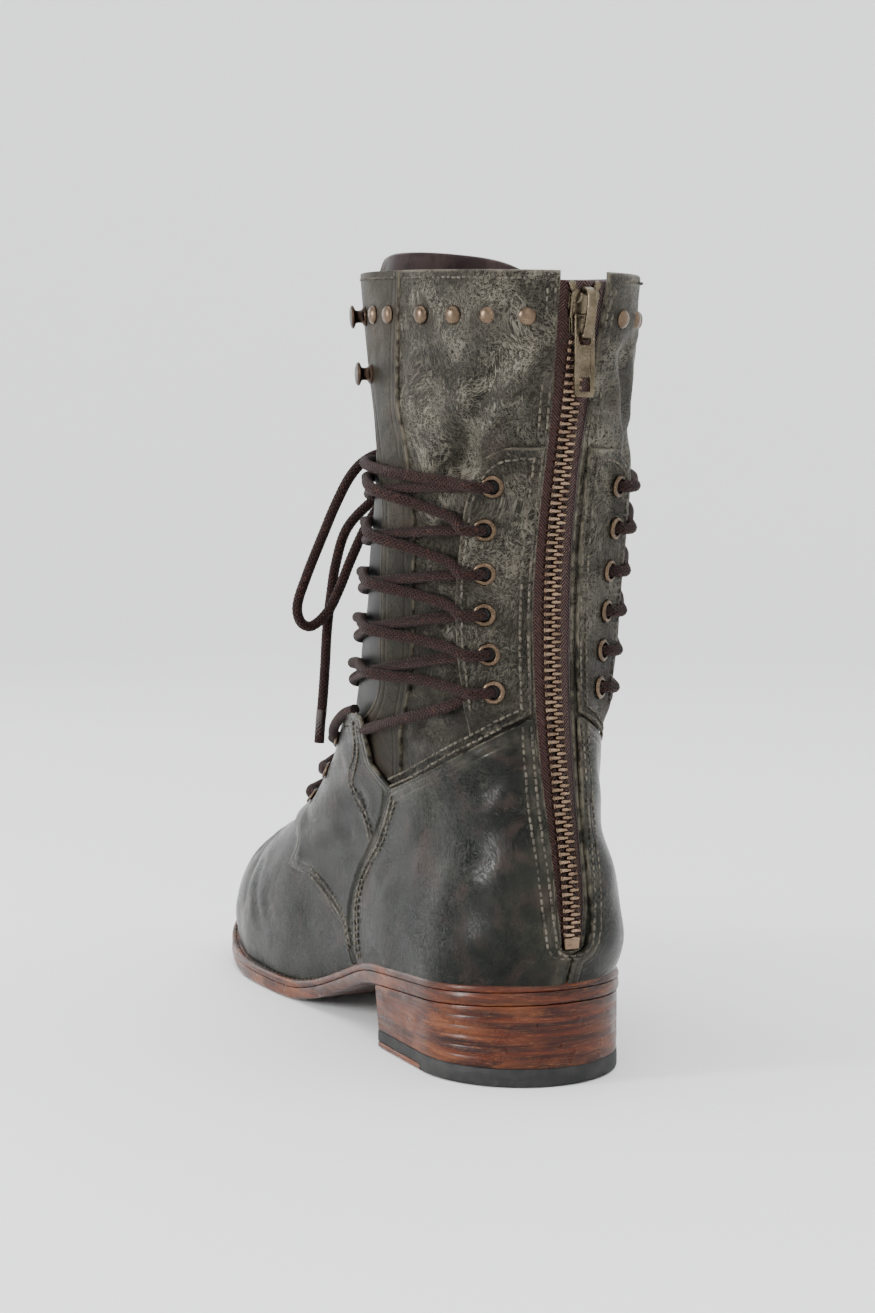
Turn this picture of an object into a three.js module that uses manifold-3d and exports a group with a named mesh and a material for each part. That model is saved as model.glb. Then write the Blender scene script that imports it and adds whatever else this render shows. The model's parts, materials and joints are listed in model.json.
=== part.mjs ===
// Left lace-up boot with a back zip, a stacked leather heel and lacing round the front of the shaft.
// Millimetres, +Z up, toe towards -Y, the wearer's left towards +X.
import * as THREE from 'three';
import { mergeVertices } from 'three/addons/utils/BufferGeometryUtils.js';
import Module from 'manifold-3d';

const wasm = await Module();
wasm.setup();

// Driving dimensions of the sole and heel
const SOLE_LENGTH = 275;
const HEEL_WIDTH = 72.2;
const BREAST_WIDTH = 69;
const WAIST_WIDTH = 61.8;
const ARCH_WIDTH = 70;
const BALL_WIDTH = 84.1;
const TOE_WIDTH = 60.5;
const HEEL_LENGTH = 80.4;
const HEEL_HEIGHT = 28.2;
const SEAT_DROP = 6;
const TOE_SPRING = 12.6;
const OUTSOLE_THICKNESS = 4.6;
const WELT_THICKNESS = 2.6;
const HALF_SOLE_THICKNESS = 1.2;
const INSOLE_THICKNESS = 2.5;
const INSOLE_INSET = 6;
const HEEL_INSET = 0.5;
const BREAST_SLANT = 3;
const LIFT_THICKNESS = 6.3;
const LIFT_TIP_THICKNESS = 2;
const LIFT_TIP_LENGTH = 37;
const EDGE_ROUND = 0.7;
const GAP = 0.3;

// Driving dimensions of the upper
const COLLAR_HEIGHT = 269.7;
const SHAFT_WIDTH = 88;
const WALL = 2;
const LEATHER_GAP = 0.4;
const TONGUE_THICKNESS = 2;
const TONGUE_RISE = 11;
const TONGUE_OVERLAP = 9;
const PANEL_LIFT = 0.35;
const PANEL_THICKNESS = 1.3;
const PANEL_TOP = PANEL_LIFT + PANEL_THICKNESS;

// Driving dimensions of the fittings
const TAPE_THICKNESS = 0.8;
const TAPE_LAP = 4;
const TEETH_WIDTH = 5.4;
const TEETH_THICKNESS = 1.9;
const STOP_LENGTH = 5;
const STOP_WIDTH = 5.6;
const STOP_THICKNESS = 1.4;
const SLIDER_WIDTH = 9.6;
const SLIDER_LENGTH = 11;
const SLIDER_THICKNESS = 2.2;
const SLIDER_NOSE = 1.3;
const BRIDGE_WIDTH = 2.4;
const BRIDGE_THICKNESS = 1;
const BRIDGE_CLEARANCE = 2.3;
const PIN_RADIUS = 0.75;
const FORK_GAP = 4.4;
const PULL_LENGTH = 27;
const PULL_WIDTH = 7.4;
const PULL_THICKNESS = 1.4;
const PULL_WINDOW = 4;
const EYELET_RADIUS = 4;
const EYELET_BORE = 2.2;
const EYELET_HEIGHT = 1.1;
const LOWER_EYELET_RADIUS = 3.4;
const LOWER_EYELET_BORE = 1.9;
const LOWER_RISE = 0.3;
const STUD_RADIUS = 3.2;
const STUD_HEIGHT = 1.8;
const HOOK_RADIUS = 4.1;
const HOOK_NECK = 2.3;
const HOOK_HEIGHT = 5.4;
const HOOK_BASE_THICKNESS = 0.9;
const HOOK_CAP_THICKNESS = 1.7;
const LACE_RADIUS = 1.9;
const KNOT_RADIUS = 6;

// Half widths of the sole at shares of its length, each following its own width
const OUTLINE = [
  { along: 0.13, width: HEEL_WIDTH, lateral: 0.5, medial: 0.5 },
  { along: 0.292, width: BREAST_WIDTH, lateral: 0.503, medial: 0.497 },
  { along: 0.42, width: WAIST_WIDTH, lateral: 0.524, medial: 0.476 },
  { along: 0.54, width: ARCH_WIDTH, lateral: 0.469, medial: 0.531 },
  { along: 0.64, width: BALL_WIDTH, lateral: 0.413, medial: 0.55 },
  { along: 0.72, width: BALL_WIDTH, lateral: 0.417, medial: 0.583 },
  { along: 0.8, width: BALL_WIDTH, lateral: 0.395, medial: 0.561 },
  { along: 0.9, width: TOE_WIDTH, lateral: 0.489, medial: 0.711 },
  { along: 1, width: TOE_WIDTH, lateral: 0.388, medial: 0.612 },
];
const HEEL_ROUND = 0.137;
const TOE_ROUND = 0.26;
const TOE_POWER = 2.6;

// Height of the sole's underside at shares of its length
const BREAST_HEIGHT = HEEL_HEIGHT - SEAT_DROP;
const UNDERSIDE = [
  { along: 0, height: HEEL_HEIGHT },
  { along: 0.292, height: BREAST_HEIGHT },
  { along: 0.35, height: 0.874 * BREAST_HEIGHT },
  { along: 0.43, height: 0.54 * BREAST_HEIGHT },
  { along: 0.51, height: 0.216 * BREAST_HEIGHT },
  { along: 0.57, height: 0.045 * BREAST_HEIGHT },
  { along: 0.62, height: 0 },
  { along: 0.76, height: 0 },
  { along: 0.84, height: 0.206 * TOE_SPRING },
  { along: 0.92, height: 0.587 * TOE_SPRING },
  { along: 1, height: TOE_SPRING },
];

// Rings of the upper from the feather edge to the collar. back and front are shares of the sole's length,
// backUp and frontUp are shares of the height from the heel seat to the collar, half is a share of half the
// shaft's width, foot is how far the ring follows the sole's outline, and tuck is a share of the ball's width.
const RINGS = [
  { back: 0.0091, backUp: -0.004, front: 0.9891, frontUp: -0.004, half: 0.768, foot: 1, tuck: 0.0297 },
  { back: -0.0022, backUp: 0.0248, front: 0.992, frontUp: 0.0318, half: 0.78, foot: 0.97, tuck: 0.0143 },
  { back: -0.0142, backUp: 0.0577, front: 0.9818, frontUp: 0.0694, half: 0.789, foot: 0.92, tuck: 0.0166 },
  { back: -0.0149, backUp: 0.0949, front: 0.9527, frontUp: 0.109, half: 0.789, foot: 0.84, tuck: 0.0297 },
  { back: -0.0105, backUp: 0.1402, front: 0.9018, frontUp: 0.1434, half: 0.78, foot: 0.74, tuck: 0.0571 },
  { back: -0.0015, backUp: 0.194, front: 0.8291, frontUp: 0.1751, half: 0.78, foot: 0.62, tuck: 0.0916 },
  { back: 0.0084, backUp: 0.2478, front: 0.7382, frontUp: 0.2006, half: 0.789, foot: 0.48, tuck: 0.1141 },
  { back: 0.0175, backUp: 0.3018, front: 0.6436, frontUp: 0.2305, half: 0.811, foot: 0.34, tuck: 0.1141 },
  { back: 0.0258, backUp: 0.3551, front: 0.5564, frontUp: 0.2761, half: 0.845, foot: 0.2, tuck: 0.0916 },
  { back: 0.0327, backUp: 0.4169, front: 0.4909, frontUp: 0.3399, half: 0.9, foot: 0.08, tuck: 0.0464 },
  { back: 0.0364, backUp: 0.4949, front: 0.4367, frontUp: 0.4308, half: 0.955, foot: 0, tuck: 0 },
  { back: 0.0349, backUp: 0.5816, front: 0.3949, frontUp: 0.5483, half: 0.986, foot: 0, tuck: 0 },
  { back: 0.0255, backUp: 0.6598, front: 0.372, frontUp: 0.6474, half: 1, foot: 0, tuck: 0 },
  { back: 0.0109, backUp: 0.738, front: 0.3665, frontUp: 0.738, half: 1, foot: 0, tuck: 0 },
  { back: -0.0065, backUp: 0.8205, front: 0.3684, frontUp: 0.8329, half: 0.977, foot: 0, tuck: 0 },
  { back: -0.0218, backUp: 0.9073, front: 0.3876, frontUp: 0.9321, half: 0.97, foot: 0, tuck: 0 },
  { back: -0.0415, backUp: 1, front: 0.4087, frontUp: 1.0269, half: 0.982, foot: 0, tuck: 0 },
];
const TOP_RING = RINGS.length - 1;
const OVAL_POWER = 0.96;
const UPPER_ROWS = Array.from({ length: TOP_RING + 1 }, (_, i) => i);
const REGION_STEP = 2.3;
const UPPER_SIDES = 26;
const REGION_DEPTH = 3.4;
const REGION_HEIGHT = 7;

// Panels and openings are laid out on the upper. up counts the rings, and round runs from 0 at the centre
// back to 1 at the centre front.
const THROAT = [
  { up: 6.3, edge: 0.9 },
  { up: 7.2, edge: 0.78 },
  { up: 7.8, edge: 0.73 },
  { up: 8.4, edge: 0.62 },
  { up: 9.15, edge: 0.487 },
  { up: 10.2, edge: 0.467 },
  { up: 11.3, edge: 0.479 },
  { up: 12.3, edge: 0.489 },
  { up: 13.2, edge: 0.531 },
  { up: 14.15, edge: 0.606 },
  { up: 14.85, edge: 0.672 },
  { up: TOP_RING, edge: 0.69 },
];
const ZIP_SLOT = [
  { up: 1.75, half: 3.6 },
  { up: 3.4, half: 5.2 },
  { up: 6.3, half: 6.5 },
  { up: 10.3, half: 7.6 },
  { up: 13.3, half: 6.8 },
  { up: 14.6, half: 7.7 },
  { up: TOP_RING, half: 9.4 },
];
const EYESTAY = [
  { up: 8.1, from: 0.175, to: 0.216 },
  { up: 8.52, from: 0.066, to: 0.215 },
  { up: 9.15, from: 0.062, to: 0.22 },
  { up: 9.8, from: 0.061, to: 0.23 },
  { up: 10.6, from: 0.061, to: 0.236 },
  { up: 11.4, from: 0.059, to: 0.231 },
  { up: 12.2, from: 0.057, to: 0.227 },
  { up: 12.8, from: 0.056, to: 0.217 },
  { up: 13.15, from: 0.056, to: 0.197 },
  { up: 13.35, from: 0.057, to: 0.16 },
];
const HEEL_QUARTER = [
  { up: 0, from: 0.022, to: 0.411 },
  { up: 1.5, from: 0.022, to: 0.424 },
  { up: 2.6, from: 0.034, to: 0.437 },
  { up: 3.8, from: 0.036, to: 0.443 },
  { up: 4.8, from: 0.04, to: 0.428 },
  { up: 5.8, from: 0.045, to: 0.428 },
  { up: 6.65, from: 0.052, to: 0.429 },
  { up: 7.3, from: 0.056, to: 0.312 },
  { up: 7.95, from: 0.06, to: 0.181 },
  { up: 8.42, from: 0.061, to: 0.072 },
];
const FRONT_QUARTER = [
  { up: 0.85, from: 0.425, to: 0.43, stand: 0 },
  { up: 2.15, from: 0.44, to: 0.455, stand: 0 },
  { up: 3.3, from: 0.448, to: 0.508, stand: 0 },
  { up: 4.12, from: 0.448, to: 0.564, stand: 0 },
  { up: 4.35, from: 0.444, to: 0.634, stand: 0 },
  { up: 5.15, from: 0.434, to: 0.645, stand: 0 },
  { up: 5.6, from: 0.434, to: 0.7, stand: 0 },
  { up: 6.15, from: 0.435, to: 0.83, stand: 0 },
  { up: 6.7, from: 0.44, to: 0.83, stand: 0.2 },
  { up: 7.6, from: 0.5, to: 0.79, stand: 1.6 },
  { up: 8.4, from: 0.517, to: 0.765, stand: 2.6 },
  { up: 8.85, from: 0.524, to: 0.74, stand: 3 },
  { up: 8.96, from: 0.56, to: 0.7, stand: 2.4 },
];
const EYELETS = [
  { up: 12.68, round: 0.168 },
  { up: 11.9, round: 0.176 },
  { up: 11.1, round: 0.171 },
  { up: 10.43, round: 0.17 },
  { up: 9.76, round: 0.16 },
  { up: 9.06, round: 0.151 },
];
const LOWER_EYELETS = [
  { up: 8.45, round: 0.71 },
  { up: 7.55, round: 0.735 },
  { up: 6.7, round: 0.77 },
];
const STUD_UP = 15.42;
const STUD_ROUND = [0.131, 0.219, 0.3, 0.383, 0.486, 0.558];
const HOOKS = [
  { up: 15.4, round: 0.632 },
  { up: 14.5, round: 0.597 },
];
const SLIDER_UP = 15.45;
const TONGUE_FOOT = 0.6;
const TAPE_FOOT = 0.35;
const TAPE_TOP = 0.1;
const STOP_RISE = 0.1;
const JOIN_LAP = 0.04;
const NOSE_SHARE = 0.72;
const NOSE_STEP = 0.1;
const KNOT_UP = 13.15;
const KNOT_LIFT = 5.7;
const KNOT_REACH = 0.965;
const ROUND_SIDES = 8;

// Smooth interpolation of one column of a table whose rows lie at key
function column(rows, key, name, at) {
  const last = rows.length - 1;
  const place = Math.min(Math.max(at, rows[0][key]), rows[last][key]);
  let i = 0;
  while (i < last - 1 && place >= rows[i + 1][key]) i += 1;
  const slope = (j) => {
    const a = rows[Math.max(j - 1, 0)];
    const b = rows[Math.min(j + 1, last)];
    return (b[name] - a[name]) / (b[key] - a[key]);
  };
  const h = rows[i + 1][key] - rows[i][key];
  const u = (place - rows[i][key]) / h;
  const v = u * u * (3 - 2 * u);
  const rise = h * (slope(i) * u * (1 - u) * (1 - u) - slope(i + 1) * u * u * (1 - u));
  return rows[i][name] * (1 - v) + rows[i + 1][name] * v + rise;
}

// Straight interpolation of one column
function between(rows, name, at) {
  const last = rows.length - 1;
  const place = Math.min(Math.max(at, rows[0].up), rows[last].up);
  let i = 0;
  while (i < last - 1 && place >= rows[i + 1].up) i += 1;
  const u = (place - rows[i].up) / (rows[i + 1].up - rows[i].up);
  return rows[i][name] + (rows[i + 1][name] - rows[i][name]) * u;
}

const WIDTHS = OUTLINE.map((r) => ({ along: r.along, lateral: r.width * r.lateral, medial: r.width * r.medial }));
const RING_ROWS = RINGS.map((r, i) => ({ ...r, up: i }));
const SOLE_THICKNESS = OUTSOLE_THICKNESS + WELT_THICKNESS + GAP;
const STATION_COUNT = 20;
const STATIONS = Array.from({ length: STATION_COUNT + 1 }, (_, i) => (
  SOLE_LENGTH * (1 - Math.cos(i * Math.PI / STATION_COUNT)) / 2
));
const SHORTEST_STATION = 2;
const EDGE_SHARE = 0.3;
const SEAT_CLEARANCE = 0.05;
const OVERCUT = 2;
const HEEL_SEAT = HEEL_HEIGHT + SOLE_THICKNESS;
const SHAFT_RISE = COLLAR_HEIGHT - HEEL_SEAT;

// Share of the full half width that the round heel and toe leave at a share of the length
function roundEnds(along) {
  const heel = along < HEEL_ROUND ? Math.sqrt(Math.max(0, 1 - (1 - along / HEEL_ROUND) ** 2)) : 1;
  const q = Math.min(Math.max((along - 1 + TOE_ROUND) / TOE_ROUND, 0), 1);
  return heel * Math.sqrt(Math.max(0, 1 - q ** TOE_POWER));
}

// Distance from the heel's middle line to the sole's edge, lateral for side 1 and medial for side -1
function soleEdge(along, side, inset) {
  const lateral = column(WIDTHS, 'along', 'lateral', along);
  const medial = column(WIDTHS, 'along', 'medial', along);
  return (lateral - medial) / 2 + side * ((lateral + medial) / 2 - inset) * roundEnds(along);
}

function underside(y) {
  return Math.max(0, column(UNDERSIDE, 'along', 'height', y / SOLE_LENGTH));
}

function seat(y) {
  return underside(y) + SOLE_THICKNESS;
}

// Point of the upper's outer face before any lift, with y counted from the heel towards the toe
function skin(up, round) {
  const ring = {};
  for (const name of ['back', 'backUp', 'front', 'frontUp', 'half', 'foot', 'tuck']) {
    ring[name] = column(RING_ROWS, 'up', name, up);
  }
  const angle = round * Math.PI;
  const side = Math.sin(angle) >= 0 ? 1 : -1;
  const s = (1 - Math.cos(angle)) / 2;
  const yBack = ring.back * SOLE_LENGTH;
  const yFront = ring.front * SOLE_LENGTH;
  const y = yBack + (yFront - yBack) * s;
  const footBack = seat(yBack);
  const footFront = seat(yFront);
  const zBack = HEEL_SEAT + (footBack - HEEL_SEAT) * ring.foot + ring.backUp * SHAFT_RISE;
  const zFront = HEEL_SEAT + (footFront - HEEL_SEAT) * ring.foot + ring.frontUp * SHAFT_RISE;
  const oval = side * Math.abs(Math.sin(angle)) ** OVAL_POWER * ring.half * SHAFT_WIDTH / 2;
  const edge = soleEdge(s, side, ring.tuck * BALL_WIDTH);
  const x = ring.foot * edge + (1 - ring.foot) * oval;
  const dip = seat(y) - (footBack + (footFront - footBack) * s);
  const rim = Math.max(0, up - TOP_RING) * TONGUE_RISE;
  return new THREE.Vector3(x, -y, zBack + (zFront - zBack) * s + ring.foot * dip + rim);
}

// Outward direction of the upper at a place on it
function outward(up, round) {
  const step = 0.02;
  const low = Math.min(Math.max(up, step), TOP_RING - step);
  const alongRing = skin(low, round + step / 4).sub(skin(low, round - step / 4));
  const alongUp = skin(low + step, round).sub(skin(low - step, round));
  return alongUp.cross(alongRing).normalize();
}

function surface(up, round, lift) {
  return skin(up, round).addScaledVector(outward(up, round), lift);
}

// Distance round the ring that one unit of round covers at the centre back
function backReach(up) {
  return skin(up, 0.02).distanceTo(skin(up, -0.02)) / 0.04;
}

// Closed geometry from points and faces, with its faces turned outwards
function closed(points, faces) {
  const raw = new THREE.BufferGeometry();
  raw.setAttribute('position', new THREE.Float32BufferAttribute(points.flatMap((p) => [p.x, p.y, p.z]), 3));
  raw.setIndex(faces.flat());
  return facingOut(mergeVertices(raw, 0.002));
}

function facingOut(geometry) {
  const position = geometry.getAttribute('position');
  const index = geometry.getIndex().array;
  const kept = [];
  const a = new THREE.Vector3();
  const b = new THREE.Vector3();
  const c = new THREE.Vector3();
  let volume = 0;
  for (let i = 0; i < index.length; i += 3) {
    const [p, q, r] = [index[i], index[i + 1], index[i + 2]];
    if (p === q || q === r || r === p) continue;
    a.fromBufferAttribute(position, p);
    b.fromBufferAttribute(position, q);
    c.fromBufferAttribute(position, r);
    volume += a.dot(b.cross(c));
    kept.push([p, q, r]);
  }
  const turned = volume < 0 ? kept.map(([p, q, r]) => [p, r, q]) : kept;
  geometry.setIndex(turned.flat());
  return geometry;
}

function toSolid(geometry) {
  const bare = geometry.index ? geometry.clone() : geometry;
  bare.deleteAttribute('normal');
  bare.deleteAttribute('uv');
  const merged = facingOut(mergeVertices(bare, 0.001));
  return new wasm.Manifold(new wasm.Mesh({
    numProp: 3,
    vertProperties: new Float32Array(merged.getAttribute('position').array),
    triVerts: new Uint32Array(merged.getIndex().array),
  }));
}

function fromSolid(solid) {
  const mesh = solid.getMesh();
  const geometry = new THREE.BufferGeometry();
  geometry.setAttribute('position', new THREE.BufferAttribute(mesh.vertProperties, 3));
  geometry.setIndex(new THREE.BufferAttribute(mesh.triVerts, 1));
  return geometry;
}

function cut(body, ...tools) {
  return fromSolid(tools.reduce((left, tool) => left.subtract(toSolid(tool)), toSolid(body)));
}

function join(pieces) {
  return fromSolid(pieces.slice(1).reduce((whole, piece) => whole.add(toSolid(piece)), toSolid(pieces[0])));
}

// Slab over a grid of places on the upper, from a low lift to a high lift. rows is a list of lists of places.
function slab(rows, low, high, wraps = false) {
  const across = rows[0].length;
  const points = [];
  for (const lift of [low, high]) {
    for (const row of rows) {
      for (const place of row) points.push(surface(place.up, place.round, lift + (place.stand ?? 0)));
    }
  }
  const at = (layer, i, j) => (layer * rows.length + i) * across + (j % across);
  const faces = [];
  const quad = (a, b, c, d) => faces.push([a, b, c], [a, c, d]);
  const spans = wraps ? across : across - 1;
  for (let i = 0; i < rows.length - 1; i += 1) {
    for (let j = 0; j < spans; j += 1) {
      quad(at(1, i, j), at(1, i, j + 1), at(1, i + 1, j + 1), at(1, i + 1, j));
      quad(at(0, i, j), at(0, i + 1, j), at(0, i + 1, j + 1), at(0, i, j + 1));
    }
    if (wraps) continue;
    quad(at(0, i, 0), at(1, i, 0), at(1, i + 1, 0), at(0, i + 1, 0));
    quad(at(1, i, across - 1), at(0, i, across - 1), at(0, i + 1, across - 1), at(1, i + 1, across - 1));
  }
  const end = rows.length - 1;
  for (let j = 0; j < spans; j += 1) {
    quad(at(0, 0, j), at(0, 0, j + 1), at(1, 0, j + 1), at(1, 0, j));
    quad(at(1, end, j), at(1, end, j + 1), at(0, end, j + 1), at(0, end, j));
  }
  return closed(points, faces);
}

// Rows of a table with more rows between those that lie far apart
function fineRows(table) {
  const names = Object.keys(table[0]);
  return table.flatMap((row, i) => {
    if (i === table.length - 1) return [row];
    const next = table[i + 1];
    const count = Math.ceil((next.up - row.up) / REGION_STEP);
    return Array.from({ length: count }, (_, j) => (
      Object.fromEntries(names.map((name) => [name, row[name] + (next[name] - row[name]) * j / count]))
    ));
  });
}

// Shell of the whole upper between two lifts, on the one grid that all its layers share
function shell(low, high, rows = UPPER_ROWS, stand = () => 0) {
  return slab(rows.map((up) => Array.from({ length: UPPER_SIDES }, (_, j) => {
    const round = 2 * j / UPPER_SIDES;
    return { up, round, stand: stand(up, Math.min(round, 2 - round)) };
  })), low, high, true);
}

// Deep slab over a region of the upper, to cut a shell with. Each row runs from one edge to the other.
function region(table, across, side = 1, low = -REGION_DEPTH) {
  return slab(fineRows(table).map((row) => Array.from({ length: across + 1 }, (_, j) => ({
    up: row.up, round: side * (row.from + (row.to - row.from) * j / across),
  }))), low, REGION_HEIGHT);
}

function within(body, tool) {
  return fromSolid(toSolid(body).intersect(toSolid(tool)));
}

// Layer of the sole between two heights given along its length, with its edges rounded. It ends at the toe,
// or flat at the heel's breast, at end on its upper face and at foot on its lower face.
function layer({ end = SOLE_LENGTH, foot = end, inset, low, high }) {
  const inner = STATIONS.filter((y) => y < Math.min(end, foot) - SHORTEST_STATION);
  const round = (y) => Math.min(EDGE_ROUND, EDGE_SHARE * (high(y) - low(y)));
  const loop = (edge, last, height) => {
    const limit = last < SOLE_LENGTH ? last : SOLE_LENGTH - edge;
    const places = [...inner, last].map((y) => Math.min(Math.max(y, edge), limit));
    return [1, -1].flatMap((side) => places.map((y) => {
      const along = (y - edge) / (SOLE_LENGTH - 2 * edge);
      return new THREE.Vector3(soleEdge(along, side, edge), -y, height(y));
    }));
  };
  const points = [
    ...loop(inset + EDGE_ROUND, foot, low),
    ...loop(inset, foot, (y) => low(y) + round(y)),
    ...loop(inset, end, (y) => high(y) - round(y)),
    ...loop(inset + EDGE_ROUND, end, high),
  ];
  const count = inner.length + 1;
  const top = 3;
  const at = (level, side, i) => (level * 2 + side) * count + i;
  const faces = [];
  const quad = (p, q, r, t) => faces.push([p, q, r], [p, r, t]);
  for (let i = 0; i < count - 1; i += 1) {
    quad(at(0, 0, i), at(0, 0, i + 1), at(0, 1, i + 1), at(0, 1, i));
    quad(at(top, 0, i), at(top, 1, i), at(top, 1, i + 1), at(top, 0, i + 1));
    for (let level = 0; level < top; level += 1) {
      quad(at(level, 0, i), at(level + 1, 0, i), at(level + 1, 0, i + 1), at(level, 0, i + 1));
      quad(at(level, 1, i), at(level, 1, i + 1), at(level + 1, 1, i + 1), at(level + 1, 1, i));
    }
  }
  for (let level = 0; level < top; level += 1) {
    const n = count - 1;
    quad(at(level, 0, n), at(level + 1, 0, n), at(level + 1, 1, n), at(level, 1, n));
    quad(at(level, 0, 0), at(level, 1, 0), at(level + 1, 1, 0), at(level + 1, 0, 0));
  }
  return closed(points, faces);
}

function box(width, depth, height, x, y, z) {
  return new THREE.BoxGeometry(width, depth, height).translate(x, y, z);
}

// Tube along points, ended square
function tube(points, radius, steps, sides = 8) {
  const section = new THREE.Shape(Array.from({ length: sides }, (_, i) => {
    const angle = (i + 0.5) * 2 * Math.PI / sides;
    return new THREE.Vector2(radius * Math.cos(angle), radius * Math.sin(angle));
  }));
  const path = new THREE.CatmullRomCurve3(points);
  return new THREE.ExtrudeGeometry(section, { steps, bevelEnabled: false, extrudePath: path });
}

// Round fitting turned about the upper's outward direction, from a profile of radius and height
function turned(profile, segments) {
  return new THREE.LatheGeometry(profile.map(([r, h]) => new THREE.Vector2(r, h)), segments);
}

const meshes = [];
const boot = new THREE.Group();

function add(name, geometry, colour, roughness, metalness) {
  const material = new THREE.MeshStandardMaterial({ color: colour, roughness, metalness });
  const mesh = new THREE.Mesh(geometry, material);
  mesh.name = name;
  boot.add(mesh);
  meshes.push(mesh);
  return mesh;
}

function seatOn(mesh, up, round, lift) {
  mesh.position.copy(surface(up, round, lift));
  mesh.quaternion.setFromUnitVectors(new THREE.Vector3(0, 1, 0), outward(up, round));
  return mesh;
}

const OLIVE = 0x4a483f;
const DARK_OLIVE = 0x33342f;
const BLACK_LEATHER = 0x24221f;
const MAHOGANY = 0x7a3b20;
const INSOLE_TAN = 0x6b4a36;
const RUBBER = 0x1d1d1e;
const BRASS = 0x7d6340;
const LACE = 0x3a221d;
const TAPE = 0x46241d;
const BOTH_SIDES = [{ word: 'lateral', side: 1 }, { word: 'medial', side: -1 }];

// Sole and heel
const HALF_SOLE_START = 0.5 * SOLE_LENGTH;
const BREAST_FOOT = HEEL_LENGTH - BREAST_SLANT;

function addSole() {
  const outsoleTop = (y) => underside(y) + OUTSOLE_THICKNESS;
  const skive = (y) => underside(y) + HALF_SOLE_THICKNESS + GAP;
  const outsole = layer({ inset: 0, low: underside, high: outsoleTop });
  const belowSkive = layer({ inset: -OVERCUT, low: (y) => underside(y) - OVERCUT, high: skive });
  const behindStart = box(2 * BALL_WIDTH, SOLE_LENGTH, SOLE_LENGTH, 0, SOLE_LENGTH / 2 - HALF_SOLE_START, 0);
  add('outsole', cut(outsole, cut(belowSkive, behindStart)), MAHOGANY, 0.45, 0);
  const sheet = layer({ inset: HEEL_INSET, low: underside, high: (y) => underside(y) + HALF_SOLE_THICKNESS });
  const behindSheet = box(2 * BALL_WIDTH, SOLE_LENGTH, SOLE_LENGTH, 0, SOLE_LENGTH / 2 - HALF_SOLE_START - GAP, 0);
  add('half_sole', cut(sheet, behindSheet), RUBBER, 0.8, 0);
  add('welt', layer({ inset: 0, low: (y) => outsoleTop(y) + GAP, high: seat }), MAHOGANY, 0.5, 0);
  const insoleLow = (y) => seat(y) + GAP;
  add('insole', layer({
    inset: INSOLE_INSET, low: insoleLow, high: (y) => insoleLow(y) + INSOLE_THICKNESS,
  }), INSOLE_TAN, 0.8, 0);
}

function addHeel() {
  const shape = { inset: HEEL_INSET, end: BREAST_FOOT, low: () => 0 };
  const stack = layer({
    inset: HEEL_INSET, end: HEEL_LENGTH, foot: BREAST_FOOT, low: () => LIFT_THICKNESS + GAP,
    high: (y) => underside(y) - GAP - SEAT_CLEARANCE,
  });
  add('heel_stack', stack, MAHOGANY, 0.45, 0);
  const tipStart = BREAST_FOOT - LIFT_TIP_LENGTH;
  const tipSpace = box(
    2 * HEEL_WIDTH, HEEL_LENGTH, 2 * (LIFT_TIP_THICKNESS + GAP), 0, -tipStart - HEEL_LENGTH / 2, 0,
  );
  add('top_lift', cut(layer({ ...shape, high: () => LIFT_THICKNESS }), tipSpace), RUBBER, 0.75, 0);
  const rear = box(2 * HEEL_WIDTH, HEEL_LENGTH, HEEL_LENGTH, 0, HEEL_LENGTH / 2 - tipStart - GAP, 0);
  add('lift_tip', cut(layer({ ...shape, high: () => LIFT_TIP_THICKNESS }), rear), MAHOGANY, 0.5, 0);
}

// Upper, open underneath, at the collar, down the throat and along the zip
const RIM_UP = TOP_RING + 1;

function slotHalf(up) {
  return between(ZIP_SLOT, 'half', up);
}

// Everything below the gap over the welt
function belowUpper() {
  return layer({ inset: -OVERCUT, low: (y) => underside(y) - OVERCUT, high: (y) => seat(y) + GAP });
}

// Region of the throat, widened on both sides by a share of the ring and taken up past the collar
function throatRows(wider, below) {
  const rows = THROAT.map((row) => ({ up: row.up, from: row.edge - wider, to: 2 - row.edge + wider }));
  const last = rows[rows.length - 1];
  return [{ ...rows[0], up: rows[0].up - below }, ...rows.slice(1), { ...last, up: RIM_UP }];
}

// Region along the zip between two places up the back, with a half width for each row
function alongZip(bottom, top, halfAt) {
  const inner = ZIP_SLOT.map((row) => row.up).filter((up) => up > bottom && up < top);
  return [bottom, ...inner, top].map((up) => {
    const half = halfAt(up) / backReach(Math.min(up, TOP_RING));
    return { up, from: -half, to: half };
  });
}

function addUpper() {
  const throat = region(throatRows(0, 0), 10);
  const slot = region(alongZip(ZIP_SLOT[0].up, RIM_UP, slotHalf), 2);
  add('upper', cut(shell(-WALL, 0), throat, slot, belowUpper()), DARK_OLIVE, 0.4, 0);
}

function addTongue() {
  const lap = TONGUE_OVERLAP / (Math.PI * SHAFT_WIDTH / 2);
  const top = -WALL - LEATHER_GAP;
  const low = top - TONGUE_THICKNESS;
  const body = shell(low, top, [...UPPER_ROWS, RIM_UP]);
  add('tongue', within(body, region(throatRows(lap, TONGUE_FOOT), 12, 1, low - OVERCUT)), BLACK_LEATHER, 0.5, 0);
}

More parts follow.
